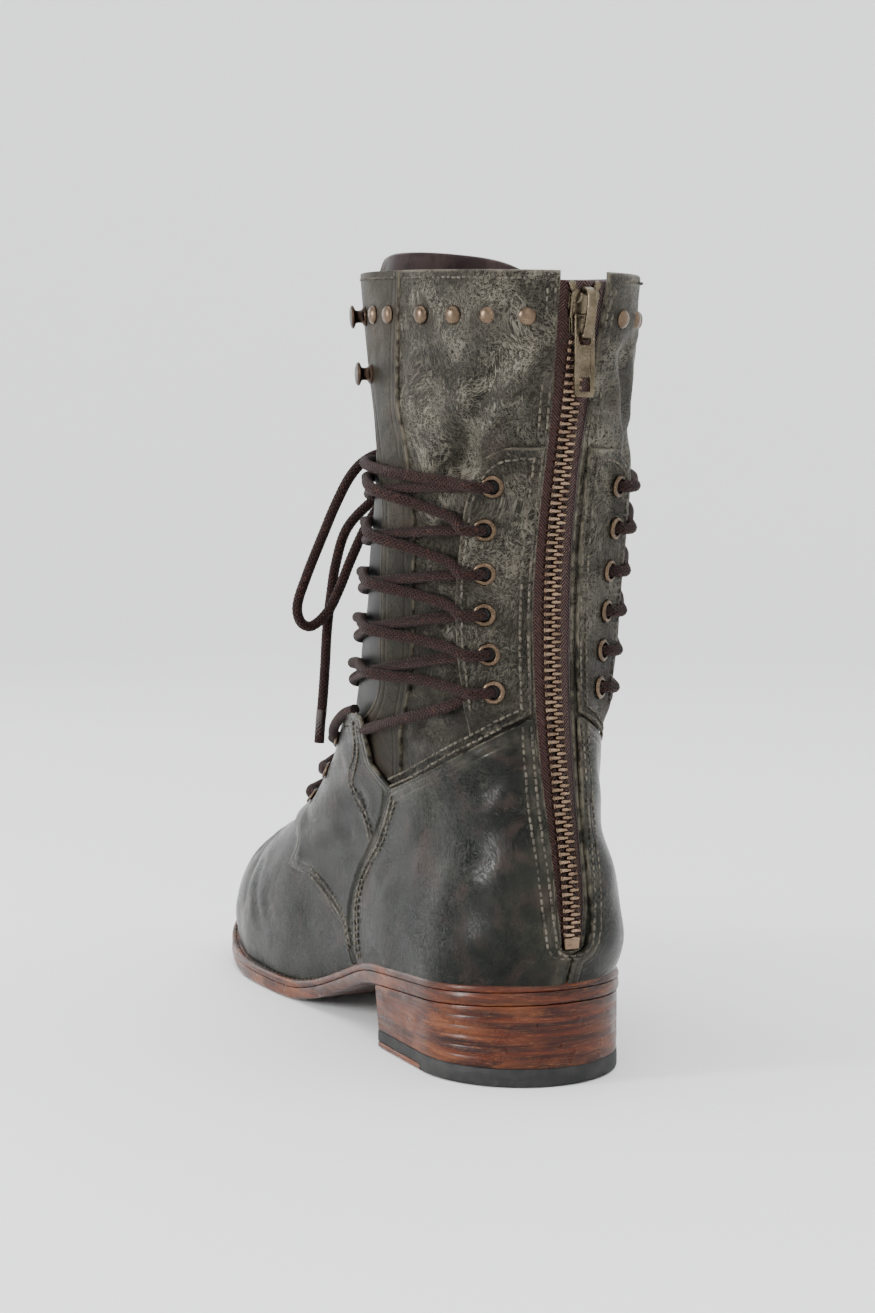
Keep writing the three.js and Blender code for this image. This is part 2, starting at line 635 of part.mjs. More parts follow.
function addPanels() {
  const flat = shell(PANEL_LIFT, PANEL_TOP);
  const raised = shell(PANEL_LIFT, PANEL_TOP, UPPER_ROWS, frontStand);
  for (const { word, side } of BOTH_SIDES) {
    add(`eyestay_${word}`, within(flat, region(EYESTAY, 4, side)), OLIVE, 0.5, 0);
    const quarter = within(flat, region(HEEL_QUARTER, 8, side));
    add(`heel_quarter_${word}`, cut(quarter, belowUpper()), DARK_OLIVE, 0.35, 0);
    add(`front_quarter_${word}`, within(raised, region(FRONT_QUARTER, 6, side)), DARK_OLIVE, 0.35, 0);
  }
}

// Zip up the centre back, closed, with its slider at the top
function addZip() {
  const tapeTop = -WALL - LEATHER_GAP;
  const bottom = ZIP_SLOT[0].up;
  const tapeLow = tapeTop - TAPE_THICKNESS;
  const tapeRows = alongZip(bottom - TAPE_FOOT, TOP_RING - TAPE_TOP, (up) => slotHalf(up) + TAPE_LAP);
  const tapeRegion = region(tapeRows, 2, 1, tapeLow - OVERCUT);
  add('zip_tape', within(shell(tapeLow, tapeTop), tapeRegion), TAPE, 0.9, 0);
  const teethLow = tapeTop + GAP;
  const strip = (width, from, to, high) => {
    const rows = [from, ...UPPER_ROWS.filter((up) => up > from && up < to), to];
    return slab(rows.map((up) => [-1, 0, 1].map((j) => ({ up, round: j * width / 2 / backReach(up) }))), teethLow, high);
  };
  const stopStart = bottom + STOP_RISE;
  const stopEnd = stopStart + STOP_LENGTH / skin(2, 0).distanceTo(skin(3, 0));
  const sliderReach = SLIDER_LENGTH / 2 + SLIDER_NOSE + GAP;
  const teethEnd = SLIDER_UP - sliderReach / skin(TOP_RING, 0).distanceTo(skin(TOP_RING - 1, 0));
  const teeth = strip(TEETH_WIDTH, stopEnd - JOIN_LAP, teethEnd, teethLow + TEETH_THICKNESS);
  const stop = strip(STOP_WIDTH, stopStart, stopEnd, teethLow + STOP_THICKNESS);
  add('zip_teeth', join([teeth, stop]), BRASS, 0.4, 0.9);
  addSlider(teethLow);
}

// Slider and pull are made upright about the pull's pin, which lies along X at the origin
function addSlider(teethLow) {
  const middle = surface(SLIDER_UP, 0, teethLow);
  const lean = outward(SLIDER_UP, 0);
  const post = 1.2;
  const reach = SLIDER_THICKNESS + BRIDGE_CLEARANCE;
  const bridge = box(BRIDGE_WIDTH, BRIDGE_THICKNESS, SLIDER_LENGTH - 1.6, 0, reach + BRIDGE_THICKNESS / 2, 0);
  const postHeight = reach - SLIDER_THICKNESS / 2;
  const posts = [1, -1].map((end) => box(
    BRIDGE_WIDTH, postHeight, post, 0, SLIDER_THICKNESS / 2 + postHeight / 2, end * (SLIDER_LENGTH - 1.6 - post) / 2,
  ));
  const plate = box(SLIDER_WIDTH, SLIDER_THICKNESS, SLIDER_LENGTH, 0, SLIDER_THICKNESS / 2, 0);
  const noseHeight = SLIDER_THICKNESS - 2 * NOSE_STEP;
  const nose = box(
    SLIDER_WIDTH * NOSE_SHARE, noseHeight, 2 * SLIDER_NOSE, 0, SLIDER_THICKNESS / 2, -SLIDER_LENGTH / 2,
  );
  const body = join([plate, bridge, ...posts, nose]);
  const slider = add('zip_slider', body, BRASS, 0.4, 0.9);
  slider.position.copy(middle);
  slider.quaternion.setFromUnitVectors(new THREE.Vector3(0, 1, 0), lean);
  const pinPlace = middle.clone().addScaledVector(lean, SLIDER_THICKNESS + BRIDGE_CLEARANCE / 2);
  const pull = add('zip_pull', pullShape(), BRASS, 0.4, 0.9);
  pull.position.copy(pinPlace);
}

function pullShape() {
  const armWidth = (PULL_WIDTH - FORK_GAP) / 2;
  const armLength = SLIDER_LENGTH * 0.62;
  const arms = [1, -1].map((end) => box(
    armWidth, PULL_THICKNESS, armLength, end * (FORK_GAP + armWidth) / 2, 0, -armLength / 2 + PIN_RADIUS,
  ));
  const pin = new THREE.CylinderGeometry(PIN_RADIUS, PIN_RADIUS, PULL_WIDTH - 0.4, 8).rotateZ(Math.PI / 2);
  const tabLength = PULL_LENGTH - armLength;
  const top = PIN_RADIUS - armLength;
  const tab = box(PULL_WIDTH, PULL_THICKNESS, tabLength, 0, 0, top - tabLength / 2 + 0.4);
  const windowPlace = top - tabLength + PULL_WINDOW;
  const opening = box(PULL_WINDOW, 3 * PULL_THICKNESS, PULL_WINDOW * 1.3, 0, 0, windowPlace);
  return cut(join([tab, ...arms, pin]), opening);
}

function addFittings() {
  const ring = (outer, bore) => turned([
    [bore, 0], [outer, 0], [outer, EYELET_HEIGHT * 0.4], [bore, EYELET_HEIGHT],
    [bore, 0],
  ], ROUND_SIDES);
  const stud = turned([
    [0, 0], [STUD_RADIUS, 0], [STUD_RADIUS * 0.86, STUD_HEIGHT * 0.55], [0, STUD_HEIGHT],
  ], ROUND_SIDES);
  const capLow = HOOK_HEIGHT - HOOK_CAP_THICKNESS;
  const hook = turned([
    [0, 0], [HOOK_RADIUS * 0.85, 0], [HOOK_RADIUS * 0.85, HOOK_BASE_THICKNESS], [HOOK_NECK, HOOK_BASE_THICKNESS * 1.6],
    [HOOK_NECK, capLow], [HOOK_RADIUS, capLow + 0.4], [HOOK_RADIUS * 0.8, HOOK_HEIGHT], [0, HOOK_HEIGHT],
  ], ROUND_SIDES);
  for (const { word, side } of BOTH_SIDES) {
    EYELETS.forEach(({ up, round }, i) => {
      const eyelet = add(`eyelet_${word}_${i + 1}`, ring(EYELET_RADIUS, EYELET_BORE), BRASS, 0.45, 0.9);
      seatOn(eyelet, up, side * round, PANEL_TOP + GAP);
    });
    LOWER_EYELETS.forEach(({ up, round }, i) => {
      const eyelet = add(`lower_eyelet_${word}_${i + 1}`, ring(LOWER_EYELET_RADIUS, LOWER_EYELET_BORE), BRASS, 0.45, 0.9);
      seatOn(eyelet, up, side * round, PANEL_TOP + GAP + LOWER_RISE + frontStand(up, round));
    });
    STUD_ROUND.forEach((round, i) => {
      const dome = add(`stud_${word}_${i + 1}`, stud, BRASS, 0.45, 0.9);
      seatOn(dome, STUD_UP, side * round, GAP);
    });
    HOOKS.forEach(({ up, round }, i) => {
      const post = add(`hook_${word}_${i + 1}`, hook, BRASS, 0.45, 0.9);
      seatOn(post, up, side * round, GAP);
    });
  }
}

// How far the front quarter stands off the upper at a place on it
function frontStand(up, round) {
  const from = between(FRONT_QUARTER, 'from', up);
  const to = between(FRONT_QUARTER, 'to', up);
  const u = Math.min(Math.max((round - from) / (to - from), 0), 1);
  return between(FRONT_QUARTER, 'stand', up) * (1 - u) ** 2;
}

// Strand of lace over the front, by places on the upper
function strand(places, steps) {
  return tube(places.map(([up, round, lift]) => surface(up, round, lift)), LACE_RADIUS, steps, STRAND_SIDES);
}

// Strands leave an eyelet over the panel's edge, cross the front and end under the next panel up
const LACE_START = 0.045;
const LACE_END = 0.078;
const OVER_PANEL = PANEL_TOP + LACE_RADIUS + 0.9;
const OVER_SHAFT = LACE_RADIUS + 1.5;
const CROSSING_LIFT = 1.7;
const STRAND_SIDES = 6;
const STRAND_STEPS = 9;

// Strand from one eyelet round the front to the panel of the eyelet above on the other side
function crossing(from, to, side) {
  const start = from.round + LACE_START;
  const end = 2 - to.round - LACE_END;
  const count = 14;
  const places = Array.from({ length: count + 1 }, (_, i) => {
    const share = i / count;
    const fall = Math.max(0, 1 - share * 6);
    const hump = side > 0 ? Math.exp(-(((share - 0.5) * 5) ** 2)) : 0;
    return [
      from.up + (to.up - from.up) * share * share * (3 - 2 * share),
      side * (start + (end - start) * share),
      OVER_SHAFT + (OVER_PANEL - OVER_SHAFT) * fall + CROSSING_LIFT * hump,
    ];
  });
  return strand(places, STRAND_STEPS);
}

function addUpperLace() {
  const strands = [];
  const first = EYELETS[0];
  const lowest = EYELETS[EYELETS.length - 1];
  for (const side of [1, -1]) {
    for (let i = 1; i < EYELETS.length; i += 1) strands.push(crossing(EYELETS[i], EYELETS[i - 1], side));
    strands.push(strand([
      [first.up, side * (first.round + LACE_START), OVER_PANEL], [first.up, side * (first.round + 0.1), OVER_PANEL],
      [first.up + 0.06, side * 0.34, OVER_SHAFT + 0.4], [first.up + 0.14, side * 0.46, OVER_SHAFT],
      [first.up + 0.22, side * 0.58, OVER_SHAFT], [KNOT_UP - 0.15, side * 0.7, OVER_SHAFT],
      [KNOT_UP - 0.1, side * 0.82, OVER_SHAFT + 0.4], [KNOT_UP - 0.06, side * KNOT_REACH, OVER_SHAFT + 0.9],
    ], 6));
    strands.push(strand([
      [lowest.up, side * (lowest.round + LACE_END), OVER_SHAFT], [lowest.up - 0.1, side * 0.32, OVER_SHAFT],
      [lowest.up - 0.25, side * 0.42, OVER_SHAFT], [lowest.up - 0.35, side * 0.49, OVER_SHAFT],
    ], 4));
  }
  add('lace_upper', join(strands), LACE, 0.85, 0);
}

function addLowerLace() {
  const lift = PANEL_TOP + LACE_RADIUS + 0.7;
  const strands = [];
  for (const side of [1, -1]) {
    for (let i = 1; i < LOWER_EYELETS.length; i += 1) {
      const from = LOWER_EYELETS[i];
      const to = LOWER_EYELETS[i - 1];
      const middle = (from.up + to.up) / 2;
      const high = side > 0 ? 1.4 : 0;
      strands.push(strand([
        [from.up, side * (from.round + 0.055), lift], [from.up + 0.15, side * (from.round + 0.12), lift],
        [middle, side * 1, lift + high], [to.up - 0.15, side * (1.88 - to.round), lift],
        [to.up, side * (1.945 - to.round), lift],
      ], 5));
    }
  }
  const low = LOWER_EYELETS[LOWER_EYELETS.length - 1];
  strands.push(strand([
    [low.up, low.round + 0.055, lift], [low.up - 0.1, 0.9, lift], [low.up - 0.12, 1, lift],
    [low.up - 0.1, 1.1, lift], [low.up, 1.945 - low.round, lift],
  ], 5));
  add('lace_lower', join(strands), LACE, 0.85, 0);
}

// Bow at the top of the lacing. Its points are distances forward of the heel and above the floor, mirrored
// for the medial side.
const LOOP_ROUTE = [
  [5.7, 107.6, 214], [14, 110.9, 214], [23, 110.2, 211.4], [30.3, 108.6, 205.6], [34.5, 112, 196],
  [38.2, 118, 182.3], [43, 122, 167.2], [45.6, 124, 156.8], [43.9, 124.5, 150.8], [40, 124, 149.3],
  [34.2, 122.5, 154.3], [30.4, 120, 163], [27.1, 117, 173.7], [22, 114.4, 186], [15, 112.4, 197],
  [10.2, 110, 203.3], [5.9, 108.2, 207.7],
];
const END_ROUTE = [
  [2.2, 110.4, 207.9], [9, 117, 201.5], [18, 121.8, 194], [25.5, 124.2, 185], [29.3, 125.6, 172],
  [30.9, 126.6, 160], [32.2, 127.3, 147], [32.8, 127.8, 134], [33.6, 128.3, 121], [34.3, 128.7, 113],
  [34.8, 129, 104.9],
];

function addBow() {
  const place = ([x, y, z], side) => new THREE.Vector3(side * x, -y, z);
  const centre = surface(KNOT_UP, 1, KNOT_LIFT);
  const knot = add('lace_knot', new THREE.SphereGeometry(KNOT_RADIUS, 8, 6).scale(1, 0.8, 0.9), LACE, 0.85, 0);
  knot.position.copy(centre);
  for (const { word, side } of BOTH_SIDES) {
    add(`lace_loop_${word}`, tube(LOOP_ROUTE.map((p) => place(p, side)), LACE_RADIUS, 17), LACE, 0.85, 0);
    add(`lace_end_${word}`, tube(END_ROUTE.map((p) => place(p, side)), LACE_RADIUS, 11), LACE, 0.85, 0);
  }
}

addSole();
addHeel();
addUpper();
addTongue();
addPanels();
addZip();
addFittings();
addUpperLace();
addLowerLace();
addBow();

// The part's origin is the middle of the boot's base, measured without the hanging bow
boot.updateMatrixWorld(true);
const extent = new THREE.Box3();
for (const mesh of meshes) {
  const bow = ['lace_knot', 'lace_loop', 'lace_end'].some((word) => mesh.name.startsWith(word));
  if (!bow) extent.expandByObject(mesh, true);
}
const centre = extent.getCenter(new THREE.Vector3());
boot.position.set(-centre.x, -centre.y, -extent.min.z);
boot.updateMatrixWorld(true);

export default boot;
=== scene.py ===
"""Lace-up boot with a back zip, dressed over its fixed frame.

Lengths are millimetres until a mesh is made, in the frame's own axes: the toe towards -Y and the
wearer's left towards +X.
A place on the leather is given as (up, turn): up counts the rings of the last from the welt to the
collar, and turn runs from 0 at the centre back to 1 at the centre front, with the medial side negative.
"""
import json
import math
import bpy
import numpy as np
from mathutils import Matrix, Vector


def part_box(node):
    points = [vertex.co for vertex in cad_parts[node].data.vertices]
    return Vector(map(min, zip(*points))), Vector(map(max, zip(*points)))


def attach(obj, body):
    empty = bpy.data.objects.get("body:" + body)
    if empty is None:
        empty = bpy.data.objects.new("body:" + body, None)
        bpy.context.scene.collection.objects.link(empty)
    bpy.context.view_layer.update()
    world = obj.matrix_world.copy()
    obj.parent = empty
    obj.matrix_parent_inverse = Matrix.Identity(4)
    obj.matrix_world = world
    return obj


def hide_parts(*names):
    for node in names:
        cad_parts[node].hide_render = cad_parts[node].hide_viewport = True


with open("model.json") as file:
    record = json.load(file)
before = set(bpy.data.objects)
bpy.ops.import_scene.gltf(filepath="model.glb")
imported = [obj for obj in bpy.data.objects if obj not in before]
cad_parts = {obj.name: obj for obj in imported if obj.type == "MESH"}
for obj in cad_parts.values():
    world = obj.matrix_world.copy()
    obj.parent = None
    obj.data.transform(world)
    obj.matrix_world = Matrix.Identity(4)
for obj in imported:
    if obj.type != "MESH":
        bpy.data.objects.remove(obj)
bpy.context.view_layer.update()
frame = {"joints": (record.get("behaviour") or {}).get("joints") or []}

MM = 0.001
HEEL_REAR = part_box("outsole")[1].y / MM
BODY = "boot"
SIDES = (("lateral", 1), ("medial", -1))

# Sizes that the frame's pieces share
SOLE_LENGTH = 275.0
BALL_WIDTH = 84.1
SHAFT_WIDTH = 88.0
COLLAR_HEIGHT = 269.7
HEEL_HEIGHT = 28.2
SEAT_DROP = 6.0
TOE_SPRING = 12.6
HEEL_LENGTH = 80.4
BREAST_SLANT = 3.0
OUTSOLE = 4.6
WELT = 2.6
GAP = 0.3
SOLE = OUTSOLE + WELT + GAP
LIFT = 6.3
LIFT_TIP = 2.0
LIFT_TIP_LENGTH = 37.0
HEEL_SEAT = HEEL_HEIGHT + SOLE
SHAFT_RISE = COLLAR_HEIGHT - HEEL_SEAT
TONGUE_RISE = 11.0
WALL = 2.0
TONGUE_TOP = -2.4
TONGUE_LOW = -4.4
PANEL_LOW = 0.35
PANEL_TOP = 1.65
LACE = 1.9
TAPE_LIFT = -2.4
HEEL_ROUND = 0.137
TOE_ROUND = 0.26
TOE_POWER = 2.6
OVAL_POWER = 0.96

# Half widths of the sole at shares of its length: along, width, lateral share, medial share
OUTLINE = np.array([
    (0.13, 72.2, 0.5, 0.5), (0.292, 69, 0.503, 0.497), (0.42, 61.8, 0.524, 0.476), (0.54, 70, 0.469, 0.531),
    (0.64, 84.1, 0.413, 0.55), (0.72, 84.1, 0.417, 0.583), (0.8, 84.1, 0.395, 0.561),
    (0.9, 60.5, 0.489, 0.711),
    (1, 60.5, 0.388, 0.612),
])
BREAST_HEIGHT = HEEL_HEIGHT - SEAT_DROP
# Height of the sole's underside at shares of its length
UNDERSIDE = np.array([
    (0, HEEL_HEIGHT), (0.292, BREAST_HEIGHT), (0.35, 0.874 * BREAST_HEIGHT), (0.43, 0.54 * BREAST_HEIGHT),
    (0.51, 0.216 * BREAST_HEIGHT), (0.57, 0.045 * BREAST_HEIGHT), (0.62, 0), (0.76, 0),
    (0.84, 0.206 * TOE_SPRING),
    (0.92, 0.587 * TOE_SPRING), (1, TOE_SPRING),
])
# Rings of the last: back, rise at the back, front, rise at the front, half width, foot, tuck
RINGS = np.array([
    (0.0091, -0.004, 0.9891, -0.004, 0.768, 1, 0.0297),
    (-0.0022, 0.0248, 0.992, 0.0318, 0.78, 0.97, 0.0143),
    (-0.0142, 0.0577, 0.9818, 0.0694, 0.789, 0.92, 0.0166),
    (-0.0149, 0.0949, 0.9527, 0.109, 0.789, 0.84, 0.0297),
    (-0.0105, 0.1402, 0.9018, 0.1434, 0.78, 0.74, 0.0571),
    (-0.0015, 0.194, 0.8291, 0.1751, 0.78, 0.62, 0.0916),
    (0.0084, 0.2478, 0.7382, 0.2006, 0.789, 0.48, 0.1141),
    (0.0175, 0.3018, 0.6436, 0.2305, 0.811, 0.34, 0.1141),
    (0.0258, 0.3551, 0.5564, 0.2761, 0.845, 0.2, 0.0916),
    (0.0327, 0.4169, 0.4909, 0.3399, 0.9, 0.08, 0.0464),
    (0.0364, 0.4949, 0.4367, 0.4308, 0.955, 0, 0),
    (0.0349, 0.5816, 0.3949, 0.5483, 0.986, 0, 0),
    (0.0255, 0.6598, 0.372, 0.6474, 1, 0, 0),
    (0.0109, 0.738, 0.3665, 0.738, 1, 0, 0),
    (-0.0065, 0.8205, 0.3684, 0.8329, 0.977, 0, 0),
    (-0.0218, 0.9073, 0.3876, 0.9321, 0.97, 0, 0),
    (-0.0415, 1, 0.4087, 1.0269, 0.982, 0, 0),
])
TOP = len(RINGS) - 1
# The visible edge of the collar, with its folded leather, and the crown of the tongue
COLLAR_UP = TOP + 0.19
TONGUE_CROWN = TOP + 0.78
RING_UP = np.arange(TOP + 1.0)
# How much more a turn counts than a ring where places are spaced along a line
TURN_WEIGHT = 60

# Places on the leather, each row with up first
THROAT = np.array([
    (6.3, 0.9), (7.2, 0.78), (7.8, 0.73), (8.4, 0.62), (9.15, 0.487), (10.2, 0.467), (11.3, 0.479),
    (12.3, 0.489),
    (13.2, 0.531), (14.15, 0.606), (14.85, 0.672), (TOP, 0.69),
])
ZIP_SLOT = np.array([(1.75, 3.6), (3.4, 5.2), (6.3, 6.5), (10.3, 7.6), (13.3, 6.8), (14.6, 7.7), (TOP, 9.4)])
STRIP_SEAM = np.array([
    (8.3, 0.404), (9.25, 0.367), (10.1, 0.347), (11.35, 0.353), (12.45, 0.369), (13.45, 0.411), (14.1, 0.45),
    (TOP, 0.447),
])
# Line between shaft and foot leather: turn, up
FOOT_LINE = np.array([
    (0, 7.2), (0.07, 7.2), (0.18, 6.9), (0.31, 6.3), (0.42, 5.6), (0.5, 5.6), (0.64, 5.2), (0.8, 6.0),
    (1, 6.4),
])
# Panels: up, from, to
EYESTAY = np.array([
    (8.1, 0.175, 0.216), (8.52, 0.066, 0.215), (9.15, 0.062, 0.22), (9.8, 0.061, 0.23), (10.6, 0.061, 0.236),
    (11.4, 0.059, 0.231), (12.2, 0.057, 0.227), (12.8, 0.056, 0.217), (13.15, 0.056, 0.197),
    (13.35, 0.057, 0.16),
])
HEEL_QUARTER = np.array([
    (0, 0.001, 0.411), (1.45, 0.001, 0.424), (1.8, 0.022, 0.428), (2.6, 0.034, 0.437), (3.8, 0.036, 0.443),
    (4.8, 0.04, 0.428), (5.8, 0.045, 0.428), (6.65, 0.052, 0.429), (7.3, 0.056, 0.312), (7.95, 0.06, 0.181),
    (8.42, 0.061, 0.072),
])
FRONT_QUARTER = np.array([
    (0.2, 0.42, 0.424), (0.85, 0.425, 0.43), (2.15, 0.44, 0.455), (3.3, 0.448, 0.508), (4.12, 0.448, 0.564),
    (4.35, 0.444, 0.634), (5.15, 0.434, 0.645), (5.6, 0.434, 0.7), (6.15, 0.435, 0.83), (6.7, 0.44, 0.83),
    (7.6, 0.5, 0.79), (8.4, 0.517, 0.765), (8.85, 0.524, 0.74), (8.96, 0.56, 0.7),
])
FRONT_STAND = np.array([(6.15, 0), (6.7, 0.2), (7.6, 1.6), (8.4, 2.6), (8.85, 3), (8.96, 2.4)])
EYELETS = ((12.68, 0.168), (11.9, 0.176), (11.1, 0.171), (10.43, 0.17), (9.76, 0.16), (9.06, 0.151))
LOWER_EYELETS = ((8.45, 0.71), (7.55, 0.735), (6.7, 0.77))
STUD_UP = 15.42
STUD_TURNS = (0.131, 0.219, 0.3, 0.383, 0.486, 0.558)
HOOKS = ((15.4, 0.632), (14.5, 0.597))
SLIDER_UP = 15.45
KNOT_UP = 13.15
KNOT_LIFT = 5.7

# Bow of the lace: distances to the lateral side, forward of the heel and above the floor,
# mirrored for the other
LOOP_ROUTE = np.array([
    (5.7, 107.6, 214), (14, 110.9, 214), (23, 110.2, 211.4), (30.3, 108.6, 205.6), (34.5, 112, 196),
    (38.2, 118, 182.3), (43, 122, 167.2), (45.6, 124, 156.8), (43.9, 124.5, 150.8), (40, 124, 149.3),
    (34.2, 122.5, 154.3), (30.4, 120, 163), (27.1, 117, 173.7), (22, 114.4, 186), (15, 112.4, 197),
    (10.2, 110, 203.3), (5.9, 108.2, 207.7),
])
END_ROUTE = np.array([
    (2.2, 110.4, 207.9), (9, 117, 201.5), (18, 121.8, 194), (25.5, 124.2, 185), (29.3, 125.6, 172),
    (30.9, 126.6, 160), (32.2, 127.3, 147), (32.8, 127.8, 134), (33.6, 128.3, 121), (34.3, 128.7, 113),
    (34.8, 129, 104.9),
])

# Camera, from the photo: where it stands, its height, its turn from the boot's length and its tilt
IMAGE = (875, 1313)
CAMERA_PLACE = (388.9, 823.6, 209.8)
CAMERA_YAW = math.radians(29.87)
# Turned on its own spot from the photo's pair to the one boot
CAMERA_TURN = math.radians(3.7)
CAMERA_PITCH = math.radians(4.63)
FOCAL_PIXELS = 2389.0
SENSOR = 36.0


def column(keys, values, at):
    """Smooth interpolation of one column of a table."""
    keys, values = np.asarray(keys, float), np.asarray(values, float)
    last = len(keys) - 1
    at = np.clip(at, keys[0], keys[-1])
    i = np.clip(np.searchsorted(keys, at, side="right") - 1, 0, last - 1)
    before = np.maximum(np.arange(last + 1) - 1, 0)
    after = np.minimum(np.arange(last + 1) + 1, last)
    slopes = (values[after] - values[before]) / (keys[after] - keys[before])
    h = keys[i + 1] - keys[i]
    u = (at - keys[i]) / h
    v = u * u * (3 - 2 * u)
    rise = h * (slopes[i] * u * (1 - u) ** 2 - slopes[i + 1] * u * u * (1 - u))
    return values[i] * (1 - v) + values[i + 1] * v + rise


def between(table, at, name=1):
    """Straight interpolation of one column of a table whose first column is up."""
    return np.interp(at, table[:, 0], table[:, name])


def smooth(low, high, at):
    """Soft step from 0 to 1 between two values."""
    u = np.clip((np.asarray(at, float) - low) / (high - low), 0, 1)
    return u * u * (3 - 2 * u)


def round_ends(along):
    """Share of the sole's width that its rounded heel and toe leave."""
    heel = np.where(along < HEEL_ROUND, np.sqrt(np.maximum(0, 1 - (1 - along / HEEL_ROUND) ** 2)), 1.0)
    q = np.clip((along - 1 + TOE_ROUND) / TOE_ROUND, 0, 1)
    return heel * np.sqrt(np.maximum(0, 1 - q ** TOE_POWER))


def sole_edge(along, side, inset):
    """Distance from the middle plane to the sole's edge on one side."""
    width = column(OUTLINE[:, 0], OUTLINE[:, 1] * OUTLINE[:, 2], along)
    medial = column(OUTLINE[:, 0], OUTLINE[:, 1] * OUTLINE[:, 3], along)
    return (width - medial) / 2 + side * ((width + medial) / 2 - inset) * round_ends(along)


def underside(y):
    """Height of the sole's underside above the floor."""
    return np.maximum(0, column(UNDERSIDE[:, 0], UNDERSIDE[:, 1], np.asarray(y, float) / SOLE_LENGTH))


def seat(y):
    """Height of the top of the welt."""
    return underside(y) + SOLE


def skin(up, turn):
    """Point of the upper's outer face."""
    up, turn = np.broadcast_arrays(np.asarray(up, float), np.asarray(turn, float))
    rings = (column(RING_UP, RINGS[:, k], up) for k in range(7))
    back, back_rise, front, front_rise, half, foot, tuck = rings
    angle = turn * math.pi
    side = np.where(np.sin(angle) >= 0, 1.0, -1.0)
    s = (1 - np.cos(angle)) / 2
    y_back, y_front = back * SOLE_LENGTH, front * SOLE_LENGTH
    y = y_back + (y_front - y_back) * s
    foot_back, foot_front = seat(y_back), seat(y_front)
    z_back = HEEL_SEAT + (foot_back - HEEL_SEAT) * foot + back_rise * SHAFT_RISE
    z_front = HEEL_SEAT + (foot_front - HEEL_SEAT) * foot + front_rise * SHAFT_RISE
    oval = side * np.abs(np.sin(angle)) ** OVAL_POWER * half * SHAFT_WIDTH / 2
    x = foot * sole_edge(s, side, tuck * BALL_WIDTH) + (1 - foot) * oval
    dip = seat(y) - (foot_back + (foot_front - foot_back) * s)
    rim = np.maximum(0, up - TOP) * TONGUE_RISE
    return np.stack([x, HEEL_REAR - y, z_back + (z_front - z_back) * s + foot * dip + rim], -1)


def outward(up, turn):
    """Direction square to the upper's outer face."""
    step = 0.02
    up, turn = np.broadcast_arrays(np.asarray(up, float), np.asarray(turn, float))
    low = np.clip(up, step, TOP - step)
    along_ring = skin(low, turn + step / 4) - skin(low, turn - step / 4)
    along_up = skin(low + step, turn) - skin(low - step, turn)
    normal = np.cross(along_up, along_ring)
    return normal / np.maximum(np.linalg.norm(normal, axis=-1, keepdims=True), 1e-9)


def surface(up, turn, lift=0.0):
    """Point a lift above the upper's outer face."""
    return skin(up, turn) + outward(up, turn) * np.asarray(lift, float)[..., None]


def back_reach(up):
    """Millimetres round the ring for one unit of turn at the centre back."""
    up = np.clip(up, 0, TOP)
    return np.linalg.norm(skin(up, 0.02) - skin(up, -0.02), axis=-1) / 0.04


def spread(count, lean=0.85):
    """Places from 0 to 1 that lie closer together near both ends."""
    t = np.linspace(0, 1, count)
    return (1 - lean) * t + lean * (0.5 - 0.5 * np.cos(math.pi * t))


def near(points, line):
    """Distance of each point to a line of points."""
    flat = points.reshape(-1, 3)
    best = np.full(len(flat), 1e9)
    for a, b in zip(line[:-1], line[1:]):
        d = b - a
        t = np.clip((flat - a) @ d / max(d @ d, 1e-12), 0, 1)
        best = np.minimum(best, np.linalg.norm(flat - a - t[:, None] * d, axis=1))
    return best.reshape(points.shape[:-1])


def run_along(points):
    """Distance from a line's start at each of its points."""
    return np.concatenate([[0], np.cumsum(np.linalg.norm(np.diff(points, axis=0), axis=1))])


def resample(points, step):
    """A smooth line through points, with its samples a step apart."""
    points = np.asarray(points, float)
    keys = run_along(points)
    fine = np.linspace(0, keys[-1], max(int(keys[-1] / step * 4), 8))
    dense = np.stack([column(keys, points[:, k], fine) for k in range(points.shape[1])], 1)
    run = run_along(dense)
    at = np.linspace(0, run[-1], max(int(round(run[-1] / step)), 2) + 1)
    return np.stack([np.interp(at, run, dense[:, k]) for k in range(points.shape[1])], 1)


def finer(places, step):
    """Places a step apart along a line through a few places."""
    return resample(np.asarray(places, float) * (1, TURN_WEIGHT), step) / (1, TURN_WEIGHT)


def unit(vectors):
    return vectors / np.maximum(np.linalg.norm(vectors, axis=-1, keepdims=True), 1e-12)


# Keeps points at round places off the borders of the weld's cells
WELD_SHIFT = 0.3137


